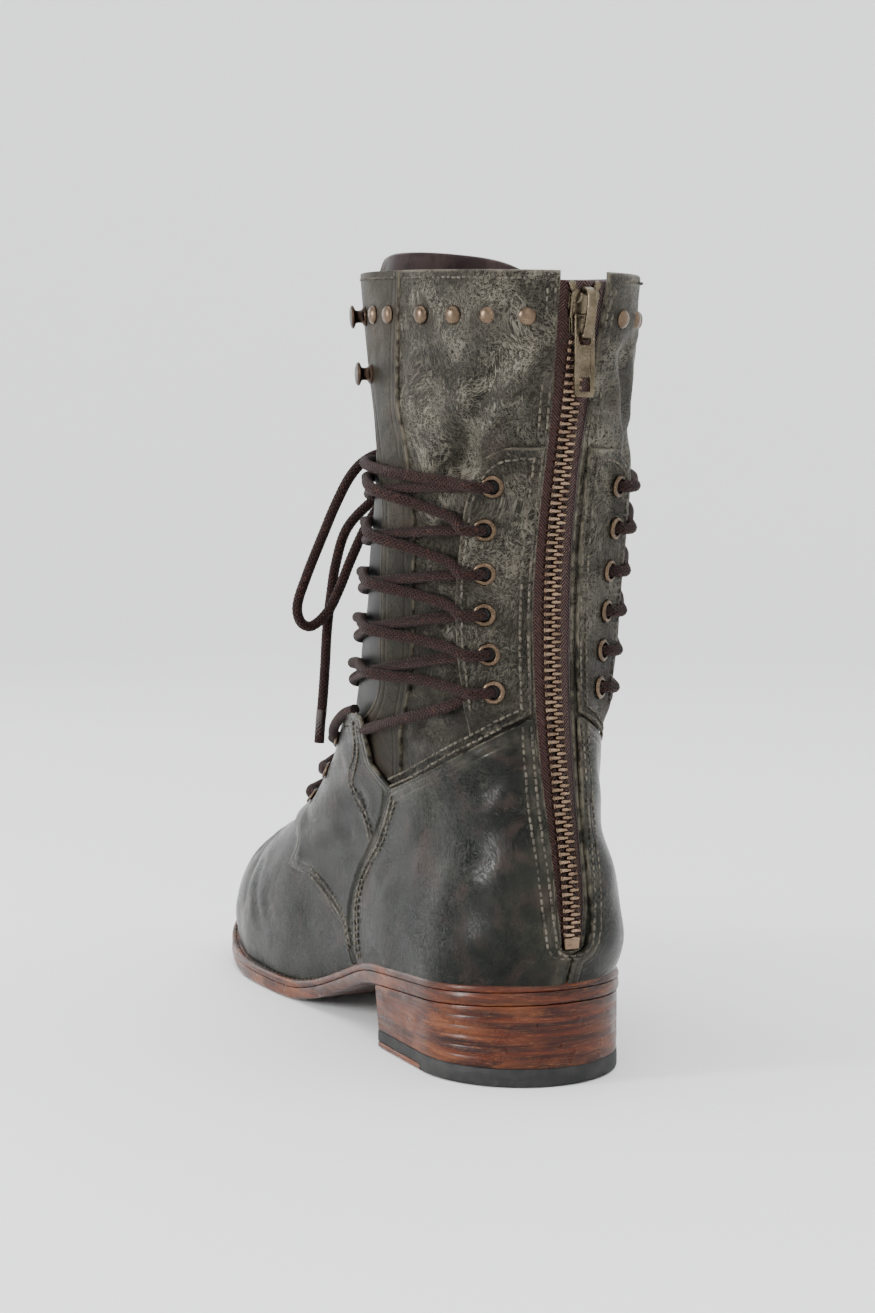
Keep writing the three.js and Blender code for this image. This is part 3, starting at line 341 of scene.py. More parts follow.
class Mesh:
    """Collects closed bodies of points and faces before they become one object."""

    def __init__(self):
        self.points, self.faces, self.marks, self.uvs, self.count = [], [], [], [], 0

    def add(self, points, faces, mark=0, uv=None):
        points = np.asarray(points, float).reshape(-1, 3)
        self.points.append(points)
        self.faces += [tuple(int(i) + self.count for i in face) for face in faces]
        self.marks += [mark] * len(faces)
        self.uvs.append(np.zeros((len(points), 2)) if uv is None else np.asarray(uv, float).reshape(-1, 2))
        self.count += len(points)

    def weld(self, limit=0.004):
        points = np.concatenate(self.points)
        uvs = np.concatenate(self.uvs)
        keys = np.round(points / limit + WELD_SHIFT).astype(np.int64)
        _, first, back = np.unique(keys, axis=0, return_index=True, return_inverse=True)
        back = back.ravel()
        self.points, self.uvs, self.count = [points[first]], [uvs[first]], len(first)
        faces, marks = [], []
        for face, mark in zip(self.faces, self.marks):
            ring = [int(back[i]) for i in face]
            ring = [v for k, v in enumerate(ring) if v != ring[k - 1]]
            if len(set(ring)) >= 3 and len(set(ring)) == len(ring):
                faces.append(tuple(ring))
                marks.append(mark)
        self.faces, self.marks = faces, marks
        return self

    def piece(self, name, materials, slot, replaces=(), body=BODY, sharp=None):
        materials = materials if isinstance(materials, (list, tuple)) else [materials]
        mesh = bpy.data.meshes.new(name)
        mesh.from_pydata((np.concatenate(self.points) * MM).tolist(), [], self.faces)
        for material in materials:
            mesh.materials.append(material)
        mesh.polygons.foreach_set("material_index", self.marks)
        mesh.shade_smooth()
        if sharp:
            mesh.set_sharp_from_angle(angle=math.radians(sharp))
        layer = mesh.uv_layers.new(name="run")
        corners = np.empty(len(mesh.loops), np.int32)
        mesh.loops.foreach_get("vertex_index", corners)
        layer.data.foreach_set("uv", (np.concatenate(self.uvs)[corners] * MM).ravel())
        mesh.update()
        piece = bpy.data.objects.new(name, mesh)
        bpy.context.scene.collection.objects.link(piece)
        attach(piece, body)
        if replaces:
            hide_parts(*replaces)
        return piece


def grid_faces(rows, columns, flip=False, ring=False):
    """Quads of a grid of points, row by row, closed into a ring across where asked."""
    spans = columns if ring else columns - 1
    i, j = np.meshgrid(np.arange(rows - 1), np.arange(spans), indexing="ij")
    a, b = i * columns + j, i * columns + (j + 1) % columns
    quads = np.stack([a, b, b + columns, a + columns], -1).reshape(-1, 4)
    return quads[:, ::-1] if flip else quads


def border(grid):
    """The four edge lines of a grid of points."""
    return [grid[0], grid[-1], grid[:, 0], grid[:, -1]]


def whole_border(shape):
    """True on the outermost points of a grid."""
    closed = np.zeros(shape, bool)
    closed[[0, -1]] = closed[:, [0, -1]] = True
    return closed


def patch(mesh, up, turn, top, low, edges, roll, folded=False, relief=None, stand=0.0, marks=(0, 0),
          flip=False, closed=None, worn=None):
    """A layer of leather over a grid of places, closed where its rolled edges meet."""
    base, normal = skin(up, turn), outward(up, turn)
    reach = np.full(up.shape, 1e9)
    for line in edges:
        reach = np.minimum(reach, near(base, line))
    reach[whole_border(up.shape) if closed is None else closed] = 0.0
    shown = reach if worn is None else np.min([near(base, line) for line in worn], axis=0)
    uv = np.stack([np.minimum(shown, 30.0), 0 * shown], -1)
    q = np.sqrt(np.maximum(0, 1 - (1 - np.clip(reach / roll, 0, 1)) ** 2))
    change = relief(up, turn, base) * np.minimum(q, 1) if relief else 0.0
    middle = (top + low) / 2 if folded else low
    high = middle + (top - middle) * q + change + stand
    deep = (middle - (middle - low) * q + change if folded else low + 0 * q) + stand
    rows, columns = up.shape
    faces = grid_faces(rows, columns)
    for lift, turned, mark in ((high, flip, marks[0]), (deep, not flip, marks[1])):
        mesh.add(base + normal * lift[..., None], faces[:, ::-1] if turned else faces, mark, uv)


def slab(mesh, top, low, flip=False, mark=0, uv=None):
    """Closed body between two grids of points."""
    rows, columns = top.shape[:2]
    count = rows * columns
    faces = grid_faces(rows, columns, flip).tolist()
    faces += [[k + count for k in face[::-1]] for face in faces]
    rim = [j for j in range(columns)] + [i * columns + columns - 1 for i in range(1, rows)]
    rim += [(rows - 1) * columns + j for j in range(columns - 2, -1,
                                                    -1)] + [i * columns for i in range(rows - 2, 0, -1)]
    for a, b in zip(rim, rim[1:] + rim[:1]):
        side = [b, a, a + count, b + count]
        faces.append(side[::-1] if flip else side)
    points = np.concatenate([top.reshape(-1, 3), low.reshape(-1, 3)])
    mesh.add(points, faces, mark, None if uv is None else np.concatenate([uv.reshape(-1, 2)] * 2))


def ripple(points, seed, size, height):
    """Slow uneven swelling of leather, from a few waves in fixed directions."""
    random = np.random.default_rng(seed)
    total = np.zeros(points.shape[:-1])
    waves = 9
    for _ in range(waves):
        direction = unit(random.normal(size=3))
        scale = size * random.uniform(0.6, 1.5)
        total += np.sin(points @ direction * 2 * math.pi / scale + random.uniform(0, 2 * math.pi))
    return total * height / math.sqrt(waves)


def frames(points):
    """Two directions square to a line at each point, carried on without twist."""
    tangent = unit(np.gradient(points, axis=0))
    side = np.cross(tangent[0], (0.0, 0.0, 1.0))
    if np.linalg.norm(side) < 0.1:
        side = np.cross(tangent[0], (1.0, 0.0, 0.0))
    sides = []
    for t in tangent:
        side = side - t * (side @ t)
        side = side / np.linalg.norm(side)
        sides.append(side)
    sides = np.array(sides)
    return sides, np.cross(tangent, sides)


def closed_rings(rows, sides):
    """Faces of a pile of rings, with a centre point added after them for each end."""
    count, start = rows * sides, (rows - 1) * sides
    faces = grid_faces(rows, sides, ring=True).tolist()
    faces += [(count, (k + 1) % sides, k) for k in range(sides)]
    faces += [(count + 1, start + k, start + (k + 1) % sides) for k in range(sides)]
    return faces


def tube(mesh, points, radius, sides=12, step=0.8, braid=0.0, taper=0.0):
    """Round cord along points, with a braid of small raised diamonds and closed ends."""
    line = resample(points, step)
    across, over = frames(line)
    angle = np.arange(sides) * 2 * math.pi / sides
    i, j = np.meshgrid(np.arange(len(line)), np.arange(sides), indexing="ij")
    size = radius * (1 + braid * np.where((i + j) % 2 == 0, 1.0, -1.0))
    share = np.linspace(0, 1, len(line))[:, None]
    size = size * (1 - taper * share)
    ring = across[:, None] * (np.cos(angle) * size)[..., None] + over[:, None] * (np.sin(angle) * size)[...,
                                                                                                        None]
    skin_points = (line[:, None] + ring).reshape(-1, 3)
    run = np.arange(len(line)) * step
    uv = np.stack(np.broadcast_arrays(run[:, None], angle[None] * radius), -1).reshape(-1, 2)
    mesh.add(np.concatenate([skin_points, line[[0, -1]]]), closed_rings(len(line), sides),
             uv=np.concatenate([uv, np.zeros((2, 2))]))
    return line


def lathe(mesh, profile, origin, axis, sides=28, mark=0):
    """Body turned about an axis from a profile of (radius, height), closed at both ends."""
    axis = unit(np.asarray(axis, float))
    across = unit(np.cross(axis, (0.0, 0.0, 1.0)) if abs(axis[2]) < 0.9 else np.cross(axis, (1.0, 0.0, 0.0)))
    over = np.cross(axis, across)
    angle = np.arange(sides) * 2 * math.pi / sides
    rings = [origin + axis * h + r * (np.cos(angle)[:, None] * across + np.sin(angle)[:, None] * over)
             for r, h in profile]
    ends = [origin + axis * profile[0][1], origin + axis * profile[-1][1]]
    mesh.add(np.concatenate([np.concatenate(rings), ends]), closed_rings(len(profile), sides), mark)


def block(mesh, centre, axes, sizes, bevel, mark=0):
    """Block with bevelled edges, given by its centre, three directions and its sizes."""
    signs = [(x, y, z) for x in (-1, 1) for y in (-1, 1) for z in (-1, 1)]
    half = np.asarray(sizes, float) / 2
    axes = np.asarray(axes, float)
    points = []
    for sign in signs:
        for k in range(3):
            inset = np.full(3, -bevel)
            inset[k] = 0
            points.append(centre + ((half + inset) * sign) @ axes)
    at = {}
    for n, sign in enumerate(signs):
        for k in range(3):
            at[sign, k] = 3 * n + k
    faces = []
    for k in range(3):
        a, b = (k + 1) % 3, (k + 2) % 3
        for s in (-1, 1):
            ring = []
            for p, q in ((-1, -1), (1, -1), (1, 1), (-1, 1)):
                sign = [0, 0, 0]
                sign[k], sign[a], sign[b] = s, p, q
                ring.append(at[tuple(sign), k])
            faces.append(ring if s > 0 else ring[::-1])
        for p, q in ((-1, -1), (1, -1), (1, 1), (-1, 1)):
            low, high = [0, 0, 0], [0, 0, 0]
            low[a] = high[a] = p
            low[b] = high[b] = q
            low[k], high[k] = -1, 1
            low, high = tuple(low), tuple(high)
            ring = [at[low, a], at[high, a], at[high, b], at[low, b]]
            faces.append(ring if p * q < 0 else ring[::-1])
    for sign in signs:
        ring = [at[sign, 0], at[sign, 1], at[sign, 2]]
        faces.append(ring if sign[0] * sign[1] * sign[2] > 0 else ring[::-1])
    if np.linalg.det(axes) < 0:
        faces = [face[::-1] for face in faces]
    mesh.add(points, faces, mark)


def strap(mesh, points, wide, half_width, half_thick, sides=16):
    """Flat bar with rounded edges along points, its width along one fixed direction."""
    line = resample(points, 0.5)
    wide = np.asarray(wide, float)
    thick = unit(np.cross(unit(np.gradient(line, axis=0)), wide))
    angle = np.arange(sides) * 2 * math.pi / sides
    u = np.sign(np.cos(angle)) * np.abs(np.cos(angle)) ** 0.5 * half_width
    v = np.sign(np.sin(angle)) * np.abs(np.sin(angle)) ** 0.5 * half_thick
    ring = line[:, None] + u[None, :, None] * wide + v[None, :, None] * thick[:, None]
    faces = grid_faces(len(line), sides, flip=True, ring=True).tolist()
    faces.append(list(range(sides)))
    faces.append([(len(line) - 1) * sides + k for k in range(sides)][::-1])
    mesh.add(ring, faces)


class Finish:
    """A procedural material on the principled shader, in the object's own metres."""

    def __init__(self, name, roughness=0.5, **settings):
        self.material = bpy.data.materials.new(name)
        self.material.use_nodes = True
        self.tree = self.material.node_tree
        self.shader = self.tree.nodes["Principled BSDF"]
        self.shader.inputs["Roughness"].default_value = roughness
        names = {
            "metallic": "Metallic", "coat": "Coat Weight", "coat_roughness": "Coat Roughness",
            "sheen": "Sheen Weight", "sheen_roughness": "Sheen Roughness", "specular": "Specular IOR Level",
        }
        for word, value in settings.items():
            self.shader.inputs[names[word]].default_value = value
        self.place = self.tree.nodes.new("ShaderNodeTexCoord").outputs["Object"]
        self.run = self.node("ShaderNodeUVMap", {"uv_map": "run"}).outputs["UV"]
        self.normal = None

    def node(self, kind, settings=None, **inputs):
        made = self.tree.nodes.new(kind)
        for word, value in (settings or {}).items():
            setattr(made, word, value)
        for word, value in inputs.items():
            self.put(made.inputs[word.replace("_", " ")], value)
        return made

    def put(self, socket, value):
        if isinstance(value, bpy.types.NodeSocket):
            self.tree.links.new(value, socket)
        elif isinstance(value, tuple) and len(value) == 3 and socket.type == "RGBA":
            socket.default_value = (*value, 1)
        else:
            socket.default_value = value

    def stretched(self, scale, turn=(0, 0, 0), source=None):
        made = self.node("ShaderNodeMapping", Scale=scale, Rotation=turn)
        self.tree.links.new(source or self.place, made.inputs["Vector"])
        return made.outputs[0]

    def noise(self, scale, detail=4.0, distortion=0.0, source=None, roughness=0.55):
        made = self.node("ShaderNodeTexNoise", Scale=scale, Detail=detail, Distortion=distortion,
                         Roughness=roughness)
        self.tree.links.new(source or self.place, made.inputs["Vector"])
        return made.outputs["Fac"]

    def flow(self, scale, reach, detail=1.0):
        """The piece's own coordinates bent by a slow noise, so that strokes along them sweep and swirl."""
        bend = self.node("ShaderNodeTexNoise", Scale=scale, Detail=detail)
        self.tree.links.new(self.place, bend.inputs["Vector"])
        shift = self.node("ShaderNodeVectorMath", {"operation": "MULTIPLY_ADD"})
        self.tree.links.new(bend.outputs["Color"], shift.inputs[0])
        shift.inputs[1].default_value = (reach, reach, reach)
        self.tree.links.new(self.place, shift.inputs[2])
        return shift.outputs[0]

    def cells(self, scale, warp):
        """Distance to the edges of uneven cells."""
        made = self.node("ShaderNodeTexVoronoi", {"feature": "DISTANCE_TO_EDGE"}, Scale=scale)
        self.tree.links.new(self.flow(scale * 0.7, warp, 2.0), made.inputs["Vector"])
        return made.outputs["Distance"]

    def math(self, operation, a, b=0.0, clamp=False):
        made = self.tree.nodes.new("ShaderNodeMath")
        made.operation, made.use_clamp = operation, clamp
        self.put(made.inputs[0], a)
        self.put(made.inputs[1], b)
        return made.outputs[0]

    def rise(self, value, low, high, to_low=0.0, to_high=1.0):
        made = self.node("ShaderNodeMapRange", {"interpolation_type": "SMOOTHSTEP"})
        self.put(made.inputs["Value"], value)
        for word, number in (("From Min", low), ("From Max", high), ("To Min", to_low), ("To Max", to_high)):
            made.inputs[word].default_value = number
        return made.outputs[0]

    def spots(self, low, high, *noise, to=(0.0, 1.0)):
        """Soft-edged spots of a noise."""
        return self.rise(self.noise(*noise), low, high, *to)

    def lines(self, value, width):
        """Thin lines where a noise crosses its middle."""
        return self.rise(self.math("ABSOLUTE", self.math("SUBTRACT", value, 0.5)), 0.0, width, 1.0, 0.0)

    def mix(self, share, a, b, blend="MIX"):
        made = self.node("ShaderNodeMix", {"data_type": "RGBA", "blend_type": blend})
        self.put(made.inputs["Factor"], share)
        self.put(made.inputs[6], a)
        self.put(made.inputs[7], b)
        return made.outputs[2]

    def over(self, colour, share, weight, other):
        """A colour with another laid over it by a share and a weight."""
        return self.mix(self.math("MULTIPLY", share, weight), colour, other)

    def part(self, word, source=None):
        made = self.tree.nodes.new("ShaderNodeSeparateXYZ")
        self.tree.links.new(source or self.place, made.inputs[0])
        return made.outputs[word]

    def colour(self, value):
        self.put(self.shader.inputs["Base Color"], value)

    def roughness(self, value):
        self.put(self.shader.inputs["Roughness"], value)

    def bump(self, height, distance, strength=1.0):
        made = self.node("ShaderNodeBump", Strength=strength, Distance=distance)
        self.put(made.inputs["Height"], height)
        if self.normal:
            self.tree.links.new(self.normal, made.inputs["Normal"])
        self.normal = made.outputs[0]
        self.tree.links.new(self.normal, self.shader.inputs["Normal"])


LEATHER_MID = (0.0200, 0.0165, 0.0115)
LEATHER_DARK = (0.0085, 0.0077, 0.0058)
LEATHER_SHADE = (0.0040, 0.0038, 0.0030)
HAIR = (0.165, 0.150, 0.118)
WORN = (0.170, 0.150, 0.112)
PLUM = (0.036, 0.021, 0.018)
FOOT_PALE = (0.0115, 0.0125, 0.0090)
FOOT_DARK = (0.0030, 0.0038, 0.0028)
STITCH_LINES = (0.0016, 0.0042)


def seam_troughs(f):
    """Soft troughs where the rows of stitches pull the leather down beside a panel's edge."""
    reach = f.part("X", f.run)
    total = None
    for line in STITCH_LINES:
        away = f.math("ABSOLUTE", f.math("SUBTRACT", reach, line))
        trough = f.rise(away, 0.0, 0.0009, 1.0, 0.0)
        total = trough if total is None else f.math("MAXIMUM", total, trough)
    return reach, total


def crackled_leather(name, strokes=1.0, shine=0.13):
    """Hand-rubbed leather with sweeping pale strokes and painted shade in fine creases, taupe at the collar
    and darker towards the foot.
    """
    f = Finish(name, roughness=0.42, specular=shine)
    height = f.rise(f.part("Z"), 0.10, 0.23)
    patches = f.noise(38.0, 4.0, 0.7)
    tone = f.rise(f.math("ADD", patches, f.math("MULTIPLY", height, 0.10)), 0.36, 0.74)
    colour = f.mix(tone, LEATHER_DARK, LEATHER_MID)
    shade = f.spots(0.52, 0.66, 24.0, 3.0, 0.9, f.stretched((1, 1.2, 0.8), (0.4, 0.2, 0.7)))
    colour = f.over(colour, shade, 0.75, LEATHER_SHADE)
    colour = f.over(colour, f.spots(0.55, 0.72, 75.0, 3.0, 0.6), 0.40, PLUM)
    bent = f.flow(32.0, 0.036)
    long_hair = f.lines(f.noise(680.0, 2.0, 0.6, f.stretched((1, 1, 0.20), (0.7, 0.2, 0.3), bent)), 0.060)
    cross_hair = f.lines(f.noise(760.0, 2.0, 0.8, f.stretched((0.24, 1, 1), (0.3, 0.9, 0.2), bent)), 0.055)
    swirl = f.lines(f.noise(380.0, 3.0, 1.4, bent), 0.036)
    pebbles = f.rise(f.cells(560.0, 0.0010), 0.02, 0.14, 1.0, 0.0)
    pebbled = f.spots(0.52, 0.62, 42.0, 2.0, 0.4, f.stretched((1, 1, 1), (1.1, 0.3, 0.5)))
    rubbed = f.spots(0.34, 0.70, 60.0, 3.0, 0.8)
    hairs = f.math("MAXIMUM", f.math("MAXIMUM", long_hair, cross_hair), swirl)
    marks = f.math("MAXIMUM", hairs, f.math("MULTIPLY", pebbles, pebbled))
    fade = f.rise(height, 0.0, 1.0, 0.35, 1.0)
    # Thin dark lines of fine creases: painted shade, laid into the colour with no relief under them
    crease_shade = f.lines(f.noise(560.0, 2.0, 0.9, f.stretched((1, 0.5, 0.24), (0.2, 0.7, 0.9), bent)), 0.055)
    colour = f.over(colour, crease_shade, 0.75 * strokes, LEATHER_SHADE)
    share = f.math("MULTIPLY", f.math("MULTIPLY", marks, f.rise(rubbed, 0.0, 1.0, 0.26, 0.86)), fade)
    colour = f.over(colour, share, strokes, HAIR)
    reach, troughs = seam_troughs(f)
    edge = f.math("MULTIPLY", f.rise(reach, 0.0, 0.0011, 1.0, 0.0), f.spots(0.36, 0.60, 260.0, 4.0))
    colour = f.over(colour, edge, 0.7, WORN)
    f.bump(troughs, -0.0003, 0.8)
    f.colour(colour)
    f.roughness(f.rise(patches, 0.35, 0.7, 0.38, 0.56))
    f.bump(marks, 0.00022, 1.0 * strokes)
    f.bump(f.noise(800.0, 5.0, 0.4), 0.00022, 0.6)
    f.bump(f.noise(130.0, 3.0, 0.8), 0.0007, 0.55)
    return f.material


def foot_leather():
    """Smooth burnished leather of the foot, near black with a green cast and a soft gloss."""
    f = Finish("foot_leather", roughness=0.26, specular=0.11)
    patches = f.noise(30.0, 4.0, 0.6)
    colour = f.mix(f.rise(patches, 0.40, 0.68), FOOT_DARK, FOOT_PALE)
    colour = f.over(colour, f.spots(0.52, 0.68, 65.0, 4.0, 0.6), 0.45, PLUM)
    bent = f.flow(22.0, 0.05)
    hair = f.lines(f.noise(900.0, 2.0, 0.6, f.stretched((0.22, 0.6, 1), (0.3, 0.2, 0.4), bent)), 0.04)
    cross = f.lines(f.noise(760.0, 2.0, 0.6, f.stretched((1, 1, 0.2), (0.5, 0.2, 0.1), bent)), 0.035)
    rubbed = f.spots(0.40, 0.64, 46.0, 3.0, 0.5)
    marks = f.math("MAXIMUM", hair, cross)
    upward = f.rise(f.part("Z"), 0.04, 0.13, 0.35, 1.0)
    share = f.math("MULTIPLY", f.math("MULTIPLY", marks, f.rise(rubbed, 0.0, 1.0, 0.10, 0.42)), upward)
    colour = f.mix(share, colour, (0.080, 0.077, 0.060))
    reach, troughs = seam_troughs(f)
    beside = f.rise(reach, 0.0035, 0.0075, 1.0, 0.0)
    colour = f.over(colour, beside, f.spots(0.40, 0.62, 120.0, 4.0, to=(0.08, 0.50)), (0.058, 0.052, 0.040))
    edge = f.math("MULTIPLY", f.rise(reach, 0.0, 0.0009, 1.0, 0.0), f.spots(0.40, 0.62, 240.0, 4.0))
    colour = f.over(colour, edge, 0.55, WORN)
    f.colour(colour)
    f.roughness(f.spots(0.35, 0.7, 60.0, 5.0, 0.5, to=(0.20, 0.34)))
    f.bump(troughs, -0.0003, 0.8)
    f.bump(marks, 0.00008, 0.7)
    f.bump(f.noise(620.0, 4.0), 0.00012, 0.5)
    f.bump(f.noise(85.0, 3.0, 0.5), 0.0005, 0.4)
    return f.material


def tongue_leather():
    f = Finish("tongue_leather", roughness=0.48, specular=0.15, coat=0.04, coat_roughness=0.3)
    f.colour(f.mix(f.spots(0.35, 0.7, 60.0, 4.0), (0.005, 0.005, 0.005), (0.018, 0.017, 0.015)))
    f.bump(f.cells(620.0, 0.0008), 0.0001, 0.5)
    f.bump(f.noise(120.0, 3.0), 0.0004, 0.4)
    return f.material


def suede(name, colour, pale):
    f = Finish(name, roughness=0.92, specular=0.15, sheen=0.35, sheen_roughness=0.5)
    f.colour(f.mix(f.spots(0.35, 0.68, 90.0, 5.0, 0.4), colour, pale))
    f.bump(f.noise(1300.0, 3.0), 0.0002, 0.7)
    f.bump(f.noise(160.0, 4.0), 0.0004, 0.5)
    return f.material


def stacked_leather():
    """Burnished mahogany edge, with fine streaks along the layers."""
    f = Finish("stacked_leather", roughness=0.34, specular=0.2, coat=0.06, coat_roughness=0.20)
    streaks = f.noise(30.0, 6.0, 0.3, f.stretched((1, 1, 16)))
    fine = f.noise(60.0, 5.0, 0.2, f.stretched((1, 1, 28)))
    colour = f.mix(f.rise(streaks, 0.38, 0.64), (0.016, 0.0034, 0.0021), (0.072, 0.0138, 0.0048))
    colour = f.over(colour, f.rise(fine, 0.50, 0.66), 0.65, (0.020, 0.006, 0.004))
    warm = f.spots(0.50, 0.70, 40.0, 4.0, 0.5, f.stretched((1, 1, 3)))
    colour = f.over(colour, warm, 0.65, (0.140, 0.040, 0.0115))
    thin = f.lines(f.noise(60.0, 4.0, 0.3, f.stretched((1, 1, 22), (0.0, 0.02, 0.0))), 0.012)
    colour = f.over(colour, thin, 0.45, (0.340, 0.140, 0.050))
    f.colour(colour)
    f.roughness(f.spots(0.35, 0.7, 120.0, 4.0, to=(0.26, 0.44)))
    f.bump(fine, 0.0002, 0.6)
    f.bump(f.noise(500.0, 3.0), 0.00006, 0.5)
    return f.material


def rubber():
    f = Finish("rubber", roughness=0.72, specular=0.4)
    f.colour(f.mix(f.spots(0.35, 0.7, 150.0, 5.0), (0.006, 0.006, 0.006), (0.018, 0.018, 0.017)))
    f.bump(f.noise(900.0, 4.0), 0.00015, 0.6)
    return f.material


def brass(name, dark, bright, roughness):
    """Aged brass, worn bright on some of its face and dark with patina elsewhere."""
    f = Finish(name, roughness=roughness, metallic=1.0)
    patina = f.spots(0.20, 0.80, 150.0, 4.0, 0.4, to=(0.25, 0.95))
    f.colour(f.mix(patina, dark, bright))
    f.roughness(f.spots(0.3, 0.7, 500.0, 4.0, to=(roughness - 0.06, roughness + 0.12)))
    f.bump(f.noise(1500.0, 3.0), 0.00004, 0.5)
    return f.material


def lace_cotton():
    """Round waxed cotton lace, braided in slanting strands, with painted shade in the grooves of its braid
    and pale flecks that are partly painted highlight.
    """
    f = Finish("lace_cotton", roughness=0.72, specular=0.15, sheen=0.04, sheen_roughness=0.5)
    run = f.part("X", f.run)
    round_it = f.part("Y", f.run)
    pitch, across = 2 * math.pi / 0.0016, 2 * math.pi / 0.00149
    a, b = f.math("MULTIPLY", run, pitch), f.math("MULTIPLY", round_it, across)
    left = f.math("SINE", f.math("ADD", a, b))
    right = f.math("SINE", f.math("SUBTRACT", a, b))
    weave = f.math("MAXIMUM", left, right)
    # Grooves of the braid painted darker and its crests lighter: painted shade and light of the strands
    colour = f.mix(f.rise(weave, -0.3, 0.9), (0.0035, 0.0011, 0.0009), (0.0200, 0.0058, 0.0042))
    # Pale red flecks: partly the cotton's own specks, partly painted highlight of its sheen
    colour = f.over(colour, f.spots(0.54, 0.70, 600.0, 5.0), 0.55, (0.060, 0.0215, 0.0145))
    f.colour(colour)
    f.bump(weave, 0.0003, 0.9)
    f.bump(f.noise(1600.0, 3.0), 0.0001, 0.6)
    return f.material


def zip_cloth():
    """Herringbone tape, its ribs painted lighter on their crests and darker in their grooves as painted light
    and shade.
    """
    f = Finish("zip_tape", roughness=0.88, specular=0.2, sheen=0.2, sheen_roughness=0.5)
    across = f.math("MULTIPLY", f.part("X", f.run), 1 / 0.0064)
    zigzag = f.math("PINGPONG", across, 0.5)
    along = f.math("MULTIPLY", f.part("Y", f.run), 1 / 0.0012)
    slant = f.math("ADD", along, f.math("MULTIPLY", zigzag, 5.2))
    rib = f.math("SINE", f.math("MULTIPLY", slant, 2 * math.pi))
    # Ribs lighter on their crests and darker in the grooves, from the same wave as the bump: painted light
    # and shade
    colour = f.mix(f.rise(rib, -0.7, 0.7), (0.004, 0.0013, 0.0012), (0.080, 0.024, 0.017))
    colour = f.over(colour, f.spots(0.55, 0.7, 900.0, 3.0), 0.3, (0.16, 0.075, 0.058))
    f.colour(colour)
    f.bump(rib, 0.0003, 0.9)
    f.bump(f.noise(2200.0, 2.0), 0.0001, 0.5)
    return f.material


def thread(name, dark, pale):
    f = Finish(name, roughness=0.75, specular=0.3)
    f.colour(f.mix(f.spots(0.35, 0.65, 240.0, 3.0), dark, pale))
    f.bump(f.noise(2500.0, 2.0), 0.00006, 0.6)
    return f.material


def plain_dark(name, colour, roughness):
    f = Finish(name, roughness=roughness)
    f.colour(f.mix(f.noise(500.0, 3.0), colour, tuple(1.6 * c for c in colour)))
    f.bump(f.noise(1200.0, 2.0), 0.00005, 0.4)
    return f.material


SHAFT = crackled_leather("shaft_leather")
STRIP = crackled_leather("strip_leather", strokes=0.28, shine=0.06)
FOOT = foot_leather()
TONGUE = tongue_leather()
LINING = suede("lining_suede", (0.024, 0.014, 0.014), (0.068, 0.043, 0.041))
INSOLE = suede("insole_leather", (0.110, 0.050, 0.028), (0.190, 0.095, 0.052))
STACK = stacked_leather()
RUBBER = rubber()
BRASS = brass("antique_brass", (0.048, 0.037, 0.025), (0.160, 0.130, 0.088), 0.26)
STUD_BRASS = brass("stud_brass", (0.042, 0.029, 0.021), (0.160, 0.113, 0.076), 0.30)
EYELET_BRASS = brass("eyelet_brass", (0.032, 0.021, 0.015), (0.135, 0.094, 0.062), 0.28)
BRONZE = brass("dark_bronze", (0.012, 0.009, 0.008), (0.060, 0.038, 0.026), 0.34)
COPPER = brass("zip_brass", (0.080, 0.048, 0.033), (0.290, 0.205, 0.142), 0.26)
COTTON = lace_cotton()
TAPE = zip_cloth()
THREAD = thread("pale_thread", (0.030, 0.026, 0.020), (0.110, 0.096, 0.074))
DARK_THREAD = thread("dark_thread", (0.014, 0.012, 0.010), (0.060, 0.052, 0.040))
# Near-black colour of the disc set in each eyelet's bore: painted shade of the hole
BORE_SHADE = plain_dark("hole", (0.004, 0.003, 0.003), 0.9)
AGLET = plain_dark("aglet", (0.014, 0.008, 0.007), 0.35)


def slot_half(up):
    """Half the width of the zip's slot."""
    return between(ZIP_SLOT, up)


SLOT_FOOT = 1.62
SLOT_CORNER = 0.14
THROAT_FOOT = 6.05
THROAT_CORNER = 0.28


def slot_turn(up):
    """Edge of the zip's slot, which closes with rounded corners at its foot."""
    opening = np.sqrt(np.clip((up - SLOT_FOOT) / SLOT_CORNER, 0, 1))
    return opening * slot_half(up) / back_reach(up)


def throat_turn(up):
    """Edge of the throat, which closes in a round at its foot."""
    opening = np.sqrt(np.clip((up - THROAT_FOOT) / THROAT_CORNER, 0, 1))
    return 1 - opening * (1 - column(THROAT[:, 0], THROAT[:, 1], up))


# Soft folds of the worn leather: places along each, its depth and its half width
FOLDS = (
    (((14.82, 0.184), (14.7, 0.192), (14.35, 0.214), (13.9, 0.231), (13.45, 0.242), (13.1, 0.25)), 3.3, 6.0),
    (((14.5, 0.345), (14.1, 0.335), (13.7, 0.315), (13.3, 0.285), (12.95, 0.265)), 2.0, 6.0),
    (((13.2, 0.235), (12.9, 0.27), (12.5, 0.29)), 1.7, 5.0),
    (((14.9, 0.27), (14.55, 0.29), (14.2, 0.30)), 1.3, 4.5),
    (((14.3, 0.10), (13.95, 0.13), (13.7, 0.16)), 1.1, 3.5),
    (((9.25, 0.36), (9.1, 0.31), (8.8, 0.26), (8.5, 0.22)), 1.5, 2.6),
    (((9.55, 0.244), (9.2, 0.222), (8.8, 0.205), (8.45, 0.197)), 1.4, 2.2),
    (((8.35, 0.34), (8.15, 0.28), (7.95, 0.22)), 1.3, 2.6),
    (((8.9, 0.31), (8.6, 0.33), (8.2, 0.35)), 0.7, 2.2),
    (((11.8, 0.27), (11.3, 0.31), (10.8, 0.29)), 0.6, 3.5),
    (((10.5, 0.25), (10.0, 0.29), (9.6, 0.27)), 0.6, 3.5),
)
